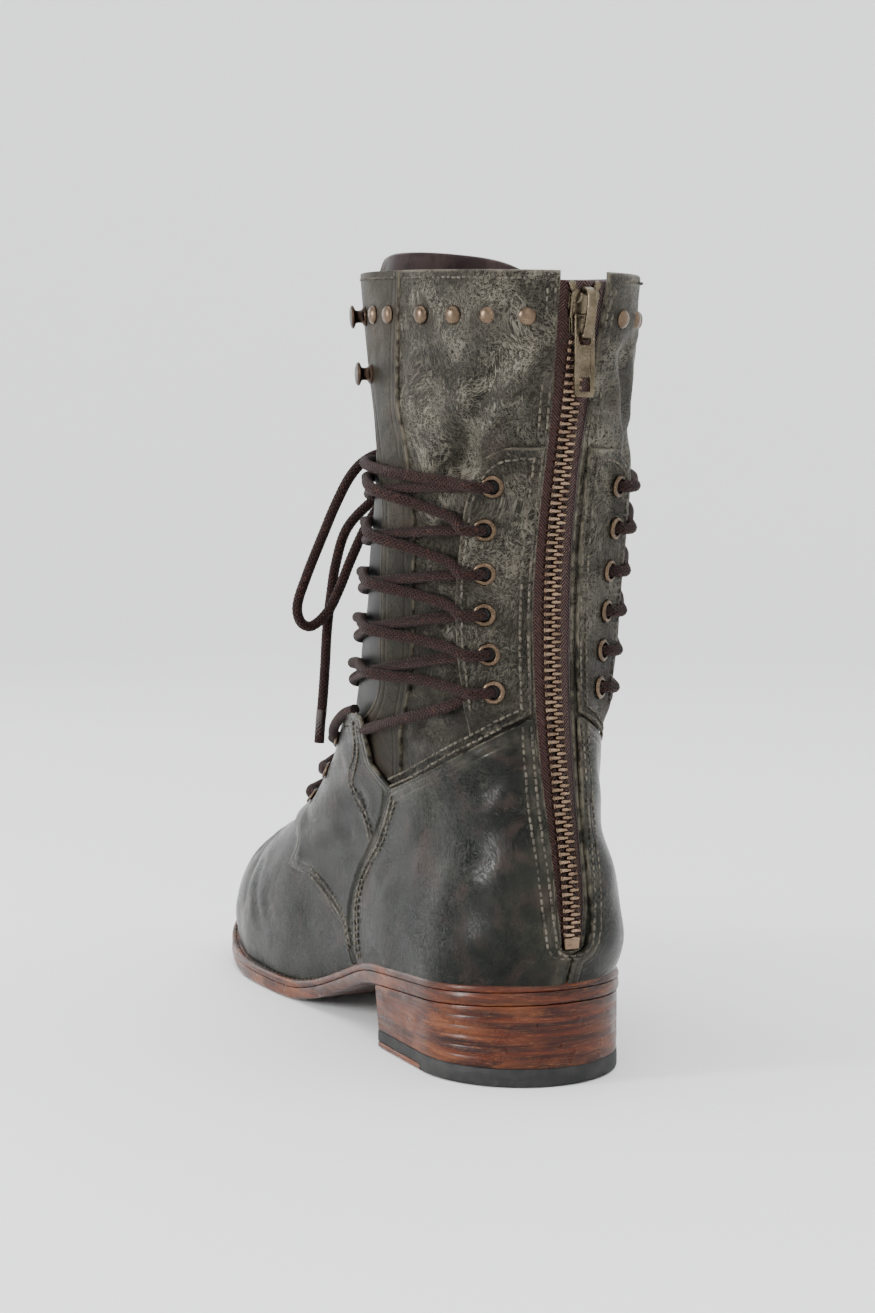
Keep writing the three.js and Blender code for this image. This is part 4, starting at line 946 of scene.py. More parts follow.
FOOT_FOLDS = (
    (((2.2, 0.66), (3.2, 0.70), (3.9, 0.73)), 0.7, 3.0),
    (((2.4, 0.72), (3.4, 0.76), (4.1, 0.80)), 0.6, 3.2),
    (((2.3, 0.62), (3.0, 0.65), (3.6, 0.66)), 0.5, 2.4),
    (((4.6, 0.83), (4.9, 0.90), (5.0, 1.0)), 0.9, 4.0),
    (((3.9, 0.84), (4.2, 0.91), (4.3, 1.0)), 0.7, 4.0),
)


def place_line(places, lift=0.0, step=1.5):
    """Line of points on the leather through a few places."""
    fine = finer(places, 0.4)
    return resample(surface(fine[:, 0], fine[:, 1], lift), step)


def leather_relief(folds, seed, swell):
    """Relief of a leather face: slow swelling, and folds with a raised ridge beside each."""
    def relief(up, turn, base):
        total = ripple(base, seed, 46.0, swell) + ripple(base, seed + 1, 19.0, swell * 0.35)
        for places, depth, width in folds:
            for _, side in SIDES:
                line = place_line([(u, side * t) for u, t in places], step=4.0)
                d = near(base, line)
                valley = -depth * np.exp(-(d / width) ** 2)
                ridge = 0.35 * depth * np.exp(-((d - 1.7 * width) / width) ** 2)
                total += valley + ridge
        return total
    return relief


def places_between(ups, start, end, share, side):
    """Grid of places between two edges, each given by its turn at every up."""
    return np.repeat(ups[:, None], len(share), 1), side * (start[:, None] + (end - start)[:, None] * share)


def across_panel(table, up, turn):
    """Share of the way across a panel from its rear edge."""
    start, end = between(table, up, 1), between(table, up, 2)
    return (turn - start) / (end - start)


def upper():
    """The hollow upper of the shaft and vamp, with its suede lining."""
    mesh = Mesh()
    extra = [SLOT_FOOT + d for d in (0, 0.008, 0.03, 0.07, 0.12)] + [COLLAR_UP - d for d in (0.008, 0.025,
                                                                                             0.05, 0.09)]
    extra += [THROAT_FOOT + d for d in (0, 0.015, 0.05, 0.11, 0.19, 0.28)] + [0.01, 0.03]
    ups = np.unique(np.concatenate([np.linspace(0, COLLAR_UP, 165), extra]))
    share = spread(118)
    slot, throat = slot_turn(ups), throat_turn(ups)
    fold = leather_relief(FOLDS + FOOT_FOLDS, 3, 0.30)
    for _, side in SIDES:
        up, turn = places_between(ups, slot, throat, share, side)
        zip_line = skin(ups[ups >= SLOT_FOOT], side * slot[ups >= SLOT_FOOT])[::2]
        throat_line = skin(ups[ups >= THROAT_FOOT], side * throat[ups >= THROAT_FOOT])[::2]
        edges = [skin(up[0], turn[0])[::2], skin(up[-1], turn[-1])[::2], zip_line, throat_line]
        closed = np.zeros(up.shape, bool)
        closed[[0, -1]] = True
        closed[ups >= SLOT_FOOT, 0] = closed[ups >= THROAT_FOOT, -1] = True
        patch(mesh, up, turn, 0.0, -WALL, edges, 1.0, folded=True, relief=fold, flip=side > 0, marks=(0, 2),
              closed=closed, worn=[edges[1], zip_line])
    mesh.weld()
    limit = vamp_limit(np.concatenate(mesh.points))
    for k, face in enumerate(mesh.faces):
        if mesh.marks[k] == 0 and limit[list(face)].mean() > 0:
            mesh.marks[k] = 1
    return mesh.piece("upper_leather", [SHAFT, FOOT, LINING], "foot_leather", ["upper"])


def vamp_limit(points):
    """Above zero where a point lies below the line between shaft and foot."""
    line = skin(FOOT_LINE[:, 1], FOOT_LINE[:, 0])
    forward = HEEL_REAR - points[:, 1]
    return np.interp(forward, HEEL_REAR - line[:, 1], line[:, 2]) - points[:, 2]


def panel(name, table, side, rows, columns, material, slot, node, relief, stand=None, roll=0.55, under=0.0):
    """A leather panel over the upper, between a table's two edges, its rear edge carried on under another."""
    mesh = Mesh()
    ups = table[0, 0] + (table[-1, 0] - table[0, 0]) * spread(rows, 0.6)
    start, end = between(table, ups, 1) - under, between(table, ups, 2)
    up, turn = places_between(ups, start, end, spread(columns, 0.8), side)
    edges = border(skin(up, turn))
    extra = stand(up, np.abs(turn)) if stand else 0.0
    patch(mesh, up, turn, PANEL_TOP, PANEL_LOW, edges, roll, relief=relief, stand=extra, flip=side > 0,
          worn=edges[1:])
    mesh.weld().piece(name, material, slot, node)


def eyestay_stand(up, turn):
    """The eyestay's front edge stands off the shaft where the laces pass under it."""
    share = across_panel(EYESTAY, up, turn)
    return 2.3 * smooth(0.52, 1.0, share) * smooth(8.1, 8.8, up) * smooth(13.4, 12.9, up)


def front_stand(up, turn):
    """The facing stands off the ankle towards its free edge."""
    share = np.clip(across_panel(FRONT_QUARTER, up, turn), 0, 1)
    return between(FRONT_STAND, up) * (1 - share) ** 2


def front_edge(up, turn):
    """The facing's stand, with the rear edge skived thin where it lies under the heel quarter."""
    depth = (between(FRONT_QUARTER, up, 1) - turn) * 150
    return front_stand(up, turn) - 0.75 * smooth(-0.6, 0.4, depth) * smooth(7.0, 6.3, up)


def panels():
    """Leather panels of both sides, in three pairs."""
    quarter_relief = leather_relief((), 11, 0.22)
    heel_folds = (
        (((5.6, 0.10), (5.2, 0.20), (5.4, 0.30)), 0.8, 8.0),
        (((6.9, 0.16), (6.4, 0.22), (6.1, 0.30)), 0.6, 5.0),
        (((3.0, 0.16), (2.6, 0.24), (2.5, 0.32)), 0.5, 9.0),
        (((4.6, 0.33), (4.3, 0.36), (3.8, 0.38)), 0.4, 4.0),
    )
    front_folds = (
        (((6.4, 0.50), (6.0, 0.58), (5.8, 0.66)), 0.6, 4.0),
        (((5.2, 0.50), (4.9, 0.55), (4.7, 0.60)), 0.5, 3.5),
        (((7.6, 0.60), (7.2, 0.66), (6.9, 0.70)), 0.4, 3.5),
    )
    heel_relief = leather_relief(heel_folds, 21, 0.25)
    front_relief = leather_relief(front_folds, 31, 0.25)
    for word, side in SIDES:
        panel(f"eyestay_leather_{word}", EYESTAY, side, 110, 34, SHAFT, "shaft_leather", [f"eyestay_{word}"],
              quarter_relief, eyestay_stand)
        panel(f"heel_leather_{word}", HEEL_QUARTER, side, 120, 90, FOOT, "foot_leather",
              [f"heel_quarter_{word}"],
              heel_relief)
        panel(f"front_leather_{word}", FRONT_QUARTER, side, 130, 70, FOOT, "foot_leather",
              [f"front_quarter_{word}"],
              front_relief, front_edge, roll=0.5, under=0.017)
        strip(word, side)


def strip(word, side):
    """Smooth strip along the throat, lapped over the shaft at a dark seam."""
    ups = np.concatenate([np.linspace(6.8, COLLAR_UP - 0.12, 170),
                          COLLAR_UP - np.array([0.08, 0.05, 0.025, 0.008, 0])])
    share = spread(30, 0.8)
    start, end = column(STRIP_SEAM[:, 0], STRIP_SEAM[:, 1], ups), throat_turn(ups) - 0.004
    up, turn = places_between(ups, start, end, share, side)
    base = skin(up, turn)
    mesh = Mesh()
    bead = 0.30 * np.exp(-((near(base, base[:, 0]) - 1.1) / 0.7) ** 2) - 0.5 * smooth(7.6, 6.8, up)
    patch(mesh, up, turn, 0.85, -0.6, border(base), 0.45, relief=leather_relief((), 41, 0.2), stand=bead,
          flip=side > 0, worn=[base[:, 0], base[:, -1]])
    mesh.weld().piece(f"strip_leather_{word}", STRIP, "shaft_leather")


def tongue():
    """Tongue inside the throat, its rounded top standing over the collar."""
    share = spread(90, 0.75)
    level = np.concatenate([[0, 0.004], np.linspace(0.015, 0.97, 110), [0.98, 0.987, 0.993, 0.997, 1]])
    crown = TONGUE_CROWN - 1.4 * np.abs(2 * share - 1) ** 5
    foot = 5.75
    up = foot + (crown - foot)[None] * level[:, None]
    lap = 9.0 / (math.pi * SHAFT_WIDTH / 2)
    edge = np.where(up > THROAT[0, 0], column(THROAT[:, 0], THROAT[:, 1], up), THROAT[0, 1]) - lap
    turn = edge + (2 - 2 * edge) * share[None]
    base = skin(up, turn)
    edges = [line[::2] for line in border(base)]

    def relief(up, turn, base):
        folds = 0.9 * np.sin((up - 6) * 3.1 + 1.5 * np.sin(turn * 9)) * smooth(13.5, 11, up) * smooth(5.7, 7,
                                                                                                      up)
        return ripple(base, 51, 30.0, 0.35) - 0.35 * np.abs(folds)

    mesh = Mesh()
    lean = -4.6 * smooth(14.6, 17.0, up) * np.clip(1.25 - 0.35 * np.abs(turn - 1) / 0.3, 0.7, 1.2)
    patch(mesh, up, turn, TONGUE_TOP, TONGUE_LOW, edges, 1.0, folded=True, relief=relief, stand=lean,
          flip=True, marks=(0, 1))
    mesh.weld().piece("tongue_leather", [TONGUE, LINING], "tongue_leather", ["tongue"])


STITCH_SIDES = 6
# Share of a stitch's length, rise and share of its thickness, from end to end
STITCH_AT, STITCH_RISE, STITCH_SIZE = np.array([
    (0, -0.42, 0.6), (0.14, 0.0, 0.9), (0.5, 0.16, 1.0), (0.86, 0.0, 0.9), (1, -0.42, 0.6),
]).T


def stitch_row(mesh, places, lift, offset=0.0, seed=1, **look):
    """Row of sewn stitches along a line of places, moved sideways by an offset."""
    fine = finer(places, 0.35)
    points = surface(fine[:, 0], fine[:, 1], lift)
    normal = outward(fine[:, 0], fine[:, 1])
    side = unit(np.cross(normal, unit(np.gradient(points, axis=0))))
    sew(mesh, points + side * offset, normal, np.random.default_rng(seed), **look)


def sew(mesh, points, normal, random, pitch=2.5, thick=0.44, share=0.84, jitter=0.08):
    """Stitches a pitch apart along points, each a short arched thread whose ends dip into the leather."""
    run = run_along(points)
    count = int(run[-1] / pitch)
    angle = np.arange(STITCH_SIDES) * 2 * math.pi / STITCH_SIDES
    rows = len(STITCH_AT)
    faces = grid_faces(rows, STITCH_SIDES, ring=True).tolist()
    faces += [tuple(range(STITCH_SIDES))[::-1], tuple(range((rows - 1) * STITCH_SIDES, rows * STITCH_SIDES))]
    size = (thick * STITCH_SIZE)[:, None]
    for k in range(count):
        at = (k + 0.13) * run[-1] / count + run[-1] / count * share * STITCH_AT
        line = np.stack([np.interp(at, run, points[:, c]) for c in range(3)], 1)
        up = unit(np.stack([np.interp(at, run, normal[:, c]) for c in range(3)], 1))
        line = line + up * (STITCH_RISE[:, None] + 0.12)
        across = unit(np.cross(up, unit(np.gradient(line, axis=0))))
        shift, slant = random.normal() * jitter, random.normal() * jitter
        line = line + across * shift + across * np.linspace(-1, 1, rows)[:, None] * slant
        ring = (line[:, None] + across[:, None] * (np.cos(angle) * size)[..., None]
                + up[:, None] * (np.sin(angle) * size * 0.8)[..., None])
        mesh.add(ring, faces)


def zip_row(mesh, low, high, lift, offset, side, seed, start=0.0):
    """Stitches beside the zip, between two places up the back."""
    ups = np.linspace(low, high, 24)
    turns = side * (slot_half(ups) + start + offset) / back_reach(ups)
    stitch_row(mesh, np.stack([ups, turns], 1), lift, seed=seed)


def zip_stitches():
    """Two rows beside the zip on each panel, and round its foot."""
    mesh = Mesh()
    for _, side in SIDES:
        for n, offset in enumerate((2.0, 4.9)):
            zip_row(mesh, 1.9, 8.25, PANEL_TOP, offset, side, 10 + n, 0.6)
            zip_row(mesh, 8.62, 13.2, PANEL_TOP, offset, side, 20 + n, 0.6)
            zip_row(mesh, 13.5, 15.85, 0.0, offset, side, 30 + n, -0.4)
    for n, offset in enumerate((2.4, 5.2)):
        around = np.linspace(-1, 1, 15)
        ups = 1.9 - (0.30 + 0.13 * n) * np.sqrt(1 - around ** 2)
        turns = around * (3.6 + offset) / back_reach(1.75)
        stitch_row(mesh, np.stack([ups, turns], 1), PANEL_TOP, seed=40 + n)
    mesh.piece("zip_stitches", THREAD, "shaft_leather")


# Rows of stitches: places on the lateral side
QUARTER_TOP_ROW = ((6.62, 0.418), (6.95, 0.360), (7.3, 0.305), (7.65, 0.240), (7.95, 0.176), (8.25, 0.112),
                   (8.36, 0.085))
QUARTER_FRONT_ROW = ((6.55, 0.424), (5.8, 0.423), (4.8, 0.423), (3.8, 0.438), (2.6, 0.432), (1.5, 0.419),
                     (0.35, 0.408))
VAMP_ROW = ((4.05, 0.564), (3.3, 0.508), (2.15, 0.455), (0.9, 0.430))
# Rows of the foot with their offset towards the front and their seed
FOOT_ROWS = (
    (QUARTER_TOP_ROW, 1.6, 50), (QUARTER_FRONT_ROW, 1.6, 60), (QUARTER_TOP_ROW, 4.2, 51),
    (QUARTER_FRONT_ROW, 4.2, 61), (VAMP_ROW, 1.4, 70), (VAMP_ROW, 4.0, 71),
)
FACING_ROW = ((8.8, 0.545), (8.1, 0.545), (7.3, 0.560), (6.6, 0.530), (5.7, 0.478), (4.9, 0.445))
STAY_ROW = ((8.7, 0.200), (9.4, 0.207), (10.2, 0.217), (10.9, 0.219), (11.7, 0.214), (12.4, 0.207),
            (12.85, 0.190), (13.08, 0.160), (13.15, 0.120), (13.17, 0.080))
# Rows under the collar: their turns, lift and seed
COLLAR_ROWS = (((0.12, 0.2, 0.3, 0.4, 0.435), 0.35, 100), ((0.46, 0.56, 0.66), 1.0, 101))
COLLAR_ROW_UP = 15.98


def stitches():
    """Stitches of the zip, the foot and the shaft."""
    zip_stitches()
    foot, shaft = Mesh(), Mesh()
    for _, side in SIDES:
        for places, offset, seed in FOOT_ROWS:
            stitch_row(foot, np.array(places) * (1, side), PANEL_TOP, offset * side, seed)
        fine = finer(np.array(FACING_ROW) * (1, side), 0.5)
        points = surface(fine[:, 0], fine[:, 1], PANEL_TOP + front_stand(fine[:, 0], np.abs(fine[:, 1])))
        normal = outward(fine[:, 0], fine[:, 1])
        forward = unit(np.cross(normal, unit(np.gradient(points, axis=0)))) * side
        for n, offset in enumerate((0, 2.8)):
            sew(foot, points + forward * offset, normal, np.random.default_rng(80 + n))
        fine = finer(np.array(STAY_ROW) * (1, side), 0.5)
        points = surface(fine[:, 0], fine[:, 1], PANEL_TOP + eyestay_stand(fine[:, 0], np.abs(fine[:, 1])))
        sew(shaft, points, outward(fine[:, 0], fine[:, 1]), np.random.default_rng(90), thick=0.42)
        for turns, lift, seed in COLLAR_ROWS:
            places = [(COLLAR_ROW_UP, side * turn) for turn in turns]
            stitch_row(shaft, places, lift, seed=seed, pitch=2.1, thick=0.38, share=0.78)
    foot.piece("foot_stitches", THREAD, "foot_leather")
    shaft.piece("shaft_stitches", THREAD, "shaft_leather")


def along_back(low, high, lift, step):
    """Points up the centre back with their tangents and outward directions, a step apart."""
    ups = np.linspace(low, high, 400)
    points = surface(ups, 0 * ups, lift)
    run = run_along(points)
    at = np.arange(0, run[-1], step)
    picked = np.interp(at, run, ups)
    points = surface(picked, 0 * picked, lift)
    tangent = unit(surface(picked + 0.01, 0 * picked, lift) - surface(picked - 0.01, 0 * picked, lift))
    return points, tangent, outward(picked, 0 * picked)


TEETH_PITCH = 2.7
TEETH_BASE = TAPE_LIFT + GAP
STOP_UP = 1.98
TEETH_FOOT = 2.2
TEETH_HEAD = 15.12


def zip_parts():
    """Tape, separate teeth, the stops, the slider and its pull."""
    tape = Mesh()
    ups = np.linspace(1.45, TOP - 0.06, 170)
    share = np.linspace(-1, 1, 31)
    half = slot_half(ups) + 4.0
    x = half[:, None] * share
    up = np.repeat(ups[:, None], len(share), 1)
    turn = x / back_reach(ups)[:, None]
    ridge = 0.45 * np.exp(-((np.abs(x) - 2.2) / 1.0) ** 2)
    run = run_along(skin(ups, 0 * ups))
    uv = np.stack([np.abs(x), np.repeat(run[:, None], len(share), 1)], -1)
    slab(tape, surface(up, turn, TAPE_LIFT + ridge), surface(up, turn, TAPE_LIFT - 0.8), flip=True, uv=uv)
    tape.piece("zip_cloth", TAPE, "zip_tape", ["zip_tape"])

    teeth = Mesh()
    middle = TEETH_BASE + 0.9
    points, tangent, normal = along_back(TEETH_FOOT, TEETH_HEAD, middle, TEETH_PITCH / 2)
    across = np.array((1.0, 0.0, 0.0))
    for k, (p, t, n) in enumerate(zip(points, tangent, normal)):
        side = 1 if k % 2 else -1
        block(teeth, p + across * side * 1.3, (across, t, n), (3.5, 1.25, 1.9), 0.3)
        block(teeth, p + across * side * 2.8 - n * 0.25, (across, t, n), (1.3, 1.75, 1.6), 0.35)
        block(teeth, p - across * side * 0.25 + n * 0.35, (across, t, n), (0.9, 1.0, 1.5), 0.3)
    foot = surface(np.array([STOP_UP]), np.array([0.0]), middle)[0]
    t, n = tangent[0], normal[0]
    block(teeth, foot, (across, t, n), (6.2, 4.4, 1.9), 0.5)
    for side in (1, -1):
        top = surface(np.array([15.86]), np.array([side * 0.030]), TEETH_BASE + 1.2)[0]
        lean = unit(tangent[-1] + across * side * 0.45)
        block(teeth, top, (unit(np.cross(normal[-1], lean)), lean, normal[-1]), (2.3, 4.2, 2.4), 0.5, 1)
    teeth.piece("zip_row", [COPPER, BRASS], "zip_brass", ["zip_teeth"], sharp=40)
    slider()


def plate(name, outer, holes, half, bevel):
    """Points and faces of a flat plate with holes and rounded edges, made as a filled curve."""
    curve = bpy.data.curves.new(name, "CURVE")
    curve.dimensions, curve.fill_mode = "2D", "BOTH"
    curve.extrude, curve.bevel_depth, curve.bevel_resolution = (half - bevel) * MM, bevel * MM, 2
    curve.offset = -bevel * MM
    for loop in [outer, *holes]:
        spline = curve.splines.new("POLY")
        spline.points.add(len(loop) - 1)
        spline.use_cyclic_u = True
        for point, (u, v) in zip(spline.points, loop):
            point.co = (u * MM, v * MM, 0, 1)
    carrier = bpy.data.objects.new(name + "_line", curve)
    bpy.context.scene.collection.objects.link(carrier)
    graph = bpy.context.evaluated_depsgraph_get()
    made = bpy.data.meshes.new_from_object(carrier.evaluated_get(graph))
    points = np.array([v.co[:] for v in made.vertices]) / MM
    faces = [tuple(p.vertices) for p in made.polygons]
    merged = Mesh()
    merged.add(points, faces)
    merged.weld(0.002)
    points, faces = merged.points[0], merged.faces
    bpy.data.objects.remove(carrier)
    bpy.data.curves.remove(curve)
    bpy.data.meshes.remove(made)
    return points, faces


def rounded_box(width, low, high, corner, steps=5):
    """Outline of an upright rectangle with rounded corners."""
    points = []
    for cx, cy, first in ((1, 1, 0), (-1, 1, 90), (-1, -1, 180), (1, -1, 270)):
        x0 = cx * (width / 2 - corner)
        y0 = high - corner if cy > 0 else low + corner
        for k in range(steps + 1):
            a = math.radians(first + 90 * k / steps)
            points.append((x0 + corner * math.cos(a), y0 + corner * math.sin(a)))
    return points


# Shoulder of the slider, as radius and height
SHOULDER = ((0.01, 0), (2.1, 0), (2.2, 0.3), (1.9, 0.55), (1.1, 0.7), (0.01, 0.74))


def slider():
    """Body of the slider, with round shoulders, side walls and the bridge that carries the pull."""
    place = np.array([SLIDER_UP])
    base = surface(place, np.array([0.0]), TEETH_BASE)[0]
    lean = outward(place, np.array([0.0]))[0]
    across = np.array((1.0, 0.0, 0.0))
    axes = np.array((across, unit(np.cross(across, lean)) * (1 if np.cross(across, lean)[2] > 0 else -1),
                     lean))
    mesh = Mesh()
    outline = [(-3.0, -6.4), (3.0, -6.4), (3.5, -5.6), (3.9, -2.5), (4.7, 1.0), (5.0, 4.0), (5.1, 6.2),
               (4.6, 7.9), (3.4, 8.7), (2.1, 8.3), (1.3, 7.0), (-1.3, 7.0), (-2.1, 8.3), (-3.4, 8.7),
               (-4.6, 7.9), (-5.1, 6.2), (-5.0, 4.0), (-4.7, 1.0), (-3.9, -2.5), (-3.5, -5.6)]
    points, faces = plate("slider_plate", outline, [], 0.4, 0.2)
    turned = [face[::-1] for face in faces] if np.linalg.det(axes) < 0 else faces
    for lift in (0.4, 2.05):
        mesh.add(base + (points + (0, 0, lift)) @ axes, turned)
    for side in (1, -1):
        block(mesh, base + np.array((side * 4.2, 2.6, 1.45)) @ axes, axes, (1.1, 7.0, 2.0), 0.3)
        shoulder = base + np.array((side * 3.1, 6.2, 2.1)) @ axes
        lathe(mesh, SHOULDER, shoulder, lean, sides=24)
    arch = [(0, 8.2, 1.6), (0, 9.0, 3.4), (0, 8.7, 5.4), (0, 7.2, 6.9), (0, 4.6, 7.4), (0, 0.0, 7.5),
            (0, -3.6, 7.2), (0, -5.8, 6.2), (0, -7.0, 4.5), (0, -6.9, 2.6), (0, -6.2, 1.2)]
    strap(mesh, base + np.array(arch, float) @ axes, across, 1.75, 0.75)
    mesh.piece("zip_slider_body", BRASS, "antique_brass", ["zip_slider"], sharp=45)
    pull()


def pull():
    """Pull tab on its pin, hanging down, with a fork at its head and a window near its foot."""
    joint = next(j for j in frame["joints"] if j["name"] == "zip_pull_hinge")
    pin = np.array(joint["pos_m"]) / MM
    axes = np.array(((1.0, 0.0, 0.0), (0.0, 0.0, 1.0), (0.0, 1.0, 0.0)))
    mesh = Mesh()
    fork = [(-3.7, 0.2), (-3.5, 0.75), (-2.9, 0.75), (-2.2, 0.2), (-2.2, -8.5), (-1.5, -9.2), (1.5, -9.2),
            (2.2, -8.5), (2.2, 0.2), (2.9, 0.75), (3.5, 0.75), (3.7, 0.2), (3.7, -25.2), (2.9, -26.2),
            (-2.9, -26.2), (-3.7, -25.2)]
    window = rounded_box(3.9, -24.4, -19.7, 0.5)[::-1]
    tray = rounded_box(4.4, -18.7, -10.3, 0.5)[::-1]
    for holes, half, bevel in (([window, tray], 0.6, 0.2), ([window], 0.34, 0.1)):
        points, faces = plate("pull_plate", fork, holes, half, bevel)
        mesh.add(pin + points @ axes, [face[::-1] for face in faces])
    for k in range(8):
        z = -11.4 - k * 0.88
        block(mesh, pin + np.array((0.0, z, 0.36)) @ axes, axes, (2.6, 0.34, 0.34), 0.08)
    tube(mesh, pin + np.array([(-3.5, 0, 0), (-1, 0, 0), (1, 0, 0), (3.5, 0, 0)], float) @ axes, 0.62,
         sides=14, step=0.7)
    mesh.piece("zip_pull_tab", BRASS, "antique_brass", ["zip_pull"], body="zip_pull", sharp=45)


def fittings():
    """Eyelets, studs and hooks of both sides."""
    eyelet = ((2.0, 0.0), (3.9, 0.0), (4.02, 0.25), (3.9, 0.62), (3.5, 0.95), (2.95, 1.1), (2.55, 1.0),
              (2.3, 0.7), (2.2, 0.2), (2.15, -0.15), (0.01, -0.15))
    small = tuple((r * 0.85, h * 0.9) for r, h in eyelet)
    stud = ((0.01, -0.3), (3.1, -0.3), (3.22, 0.1), (3.05, 0.5), (2.7, 0.95), (2.1, 1.4), (1.3, 1.7),
            (0.6, 1.8), (0.01, 1.82))
    hook = ((0.01, -0.3), (3.5, -0.3), (3.55, 0.3), (3.2, 0.8), (2.5, 1.1), (2.2, 1.8), (2.15, 2.8),
            (2.4, 3.5), (3.4, 3.9), (4.0, 4.2), (4.1, 4.6), (3.8, 5.0), (2.9, 5.3), (1.6, 5.42), (0.01, 5.45))
    for word, side in SIDES:
        for n, (up, turn) in enumerate(EYELETS):
            place = (np.array([up]), np.array([side * turn]))
            lift = eyelet_top(n) - 0.15
            ring(f"eyelet_ring_{word}_{n + 1}", eyelet, place, lift, f"eyelet_{word}_{n + 1}", 2.2)
        for n, (up, turn) in enumerate(LOWER_EYELETS):
            place = (np.array([up]), np.array([side * turn]))
            lift = PANEL_TOP + GAP + float(front_stand(up, turn))
            ring(f"lower_eyelet_ring_{word}_{n + 1}", small, place, lift, f"lower_eyelet_{word}_{n + 1}",
                 1.85)
        for n, turn in enumerate(STUD_TURNS):
            place = (np.array([STUD_UP]), np.array([side * turn]))
            lift = 0.3 if turn < 0.45 else 0.95
            turned(f"stud_dome_{word}_{n + 1}", stud, place, lift, f"stud_{word}_{n + 1}", STUD_BRASS)
        for n, (up, turn) in enumerate(HOOKS):
            place = (np.array([up]), np.array([side * turn]))
            turned(f"hook_post_{word}_{n + 1}", hook, place, 0.9, f"hook_{word}_{n + 1}", BRONZE)


def turned(name, profile, place, lift, node, material):
    """Turned fitting that stands on the leather."""
    mesh = Mesh()
    lathe(mesh, profile, surface(*place, lift)[0], outward(*place)[0])
    mesh.piece(name, material, "antique_brass", [node])


def ring(name, profile, place, lift, node, bore):
    """Eyelet with a dark disc in its bore, which stands in for the shade inside the hole."""
    mesh = Mesh()
    origin, axis = surface(*place, lift)[0], outward(*place)[0]
    lathe(mesh, profile, origin, axis, sides=36)
    # Near-black disc filling the bore: painted shade of the hole's inside
    lathe(mesh, ((0.01, -0.2), (bore, -0.2), (bore, 0.1), (0.01, 0.1)), origin, axis, sides=24, mark=1)
    mesh.piece(name, [EYELET_BRASS, BORE_SHADE], "antique_brass", [node])


# Rise of a strand over the front, as shares of the way to the next eyelet up, by the turn from its own side
LATERAL_RISE = np.array([
    (0.17, 0), (0.215, 0.15), (0.29, 0.42), (0.345, 0.6), (0.42, 0.82), (0.5, 1.03), (0.6, 1.17), (0.8, 1.2),
    (1.1, 1.14), (1.5, 1.04), (1.78, 1.0),
])
MEDIAL_RISE = np.array([
    (0.17, 0), (0.215, 0.1), (0.29, 0.28), (0.345, 0.42), (0.42, 0.56), (0.5, 0.68), (0.6, 0.78), (0.8, 0.82),
    (1.1, 0.8), (1.34, 0.82), (1.5, 0.9), (1.68, 0.98), (1.78, 1.0),
])
BODY_LIFT = LACE + 0.2
STRIP_THICK = 0.75


def eyelet_top(n):
    """Height of the panel's face above the skin at an upper eyelet."""
    return PANEL_TOP + GAP + float(eyestay_stand(*EYELETS[n]))


def strand(n, side):
    """Places of one strand, out of an eyelet, over the front and in under the panel of the next eyelet up."""
    (up, turn), (next_up, next_turn) = EYELETS[n], EYELETS[n - 1]
    rise = LATERAL_RISE if side > 0 else MEDIAL_RISE
    top = eyelet_top(n)
    places = [(up, turn + 0.002, top - 2.2), (up, turn + 0.006, top - 0.6), (up, turn + 0.014, top + 1.5),
              (up + 0.01, turn + 0.03, top + 2.6), (up + 0.03, turn + 0.046, top + 3.1)]
    for at in np.arange(0.25, 1.761, 0.05):
        height = up + (next_up - up) * float(column(rise[:, 0], rise[:, 1], at))
        beside = min(at, 2 - at)
        edge = float(column(THROAT[:, 0], THROAT[:, 1], height))
        lift = BODY_LIFT + STRIP_THICK * float(smooth(0.36, 0.44, beside))
        lift -= (2.6 if side > 0 else 3.6) * float(smooth(edge - 0.02, edge + 0.13, beside))
        if side > 0:
            lift += (2 * LACE + 0.1) * math.exp(-((at - 0.445) / 0.075) ** 2)
        lift += 1.5 * max(0.0, 1 - (at - 0.22) / 0.08)
        places.append((height, at, lift))
    away = 2 - next_turn
    places += [(next_up, away - 0.05, 1.6), (next_up, away - 0.035, 1.2), (next_up, away - 0.01, 0.6)]
    return np.array(places)


def lace_line(places, side):
    """Points of a lace from its places, with a lift each."""
    places = np.asarray(places, float)
    return surface(places[:, 0], side * places[:, 1], places[:, 2])


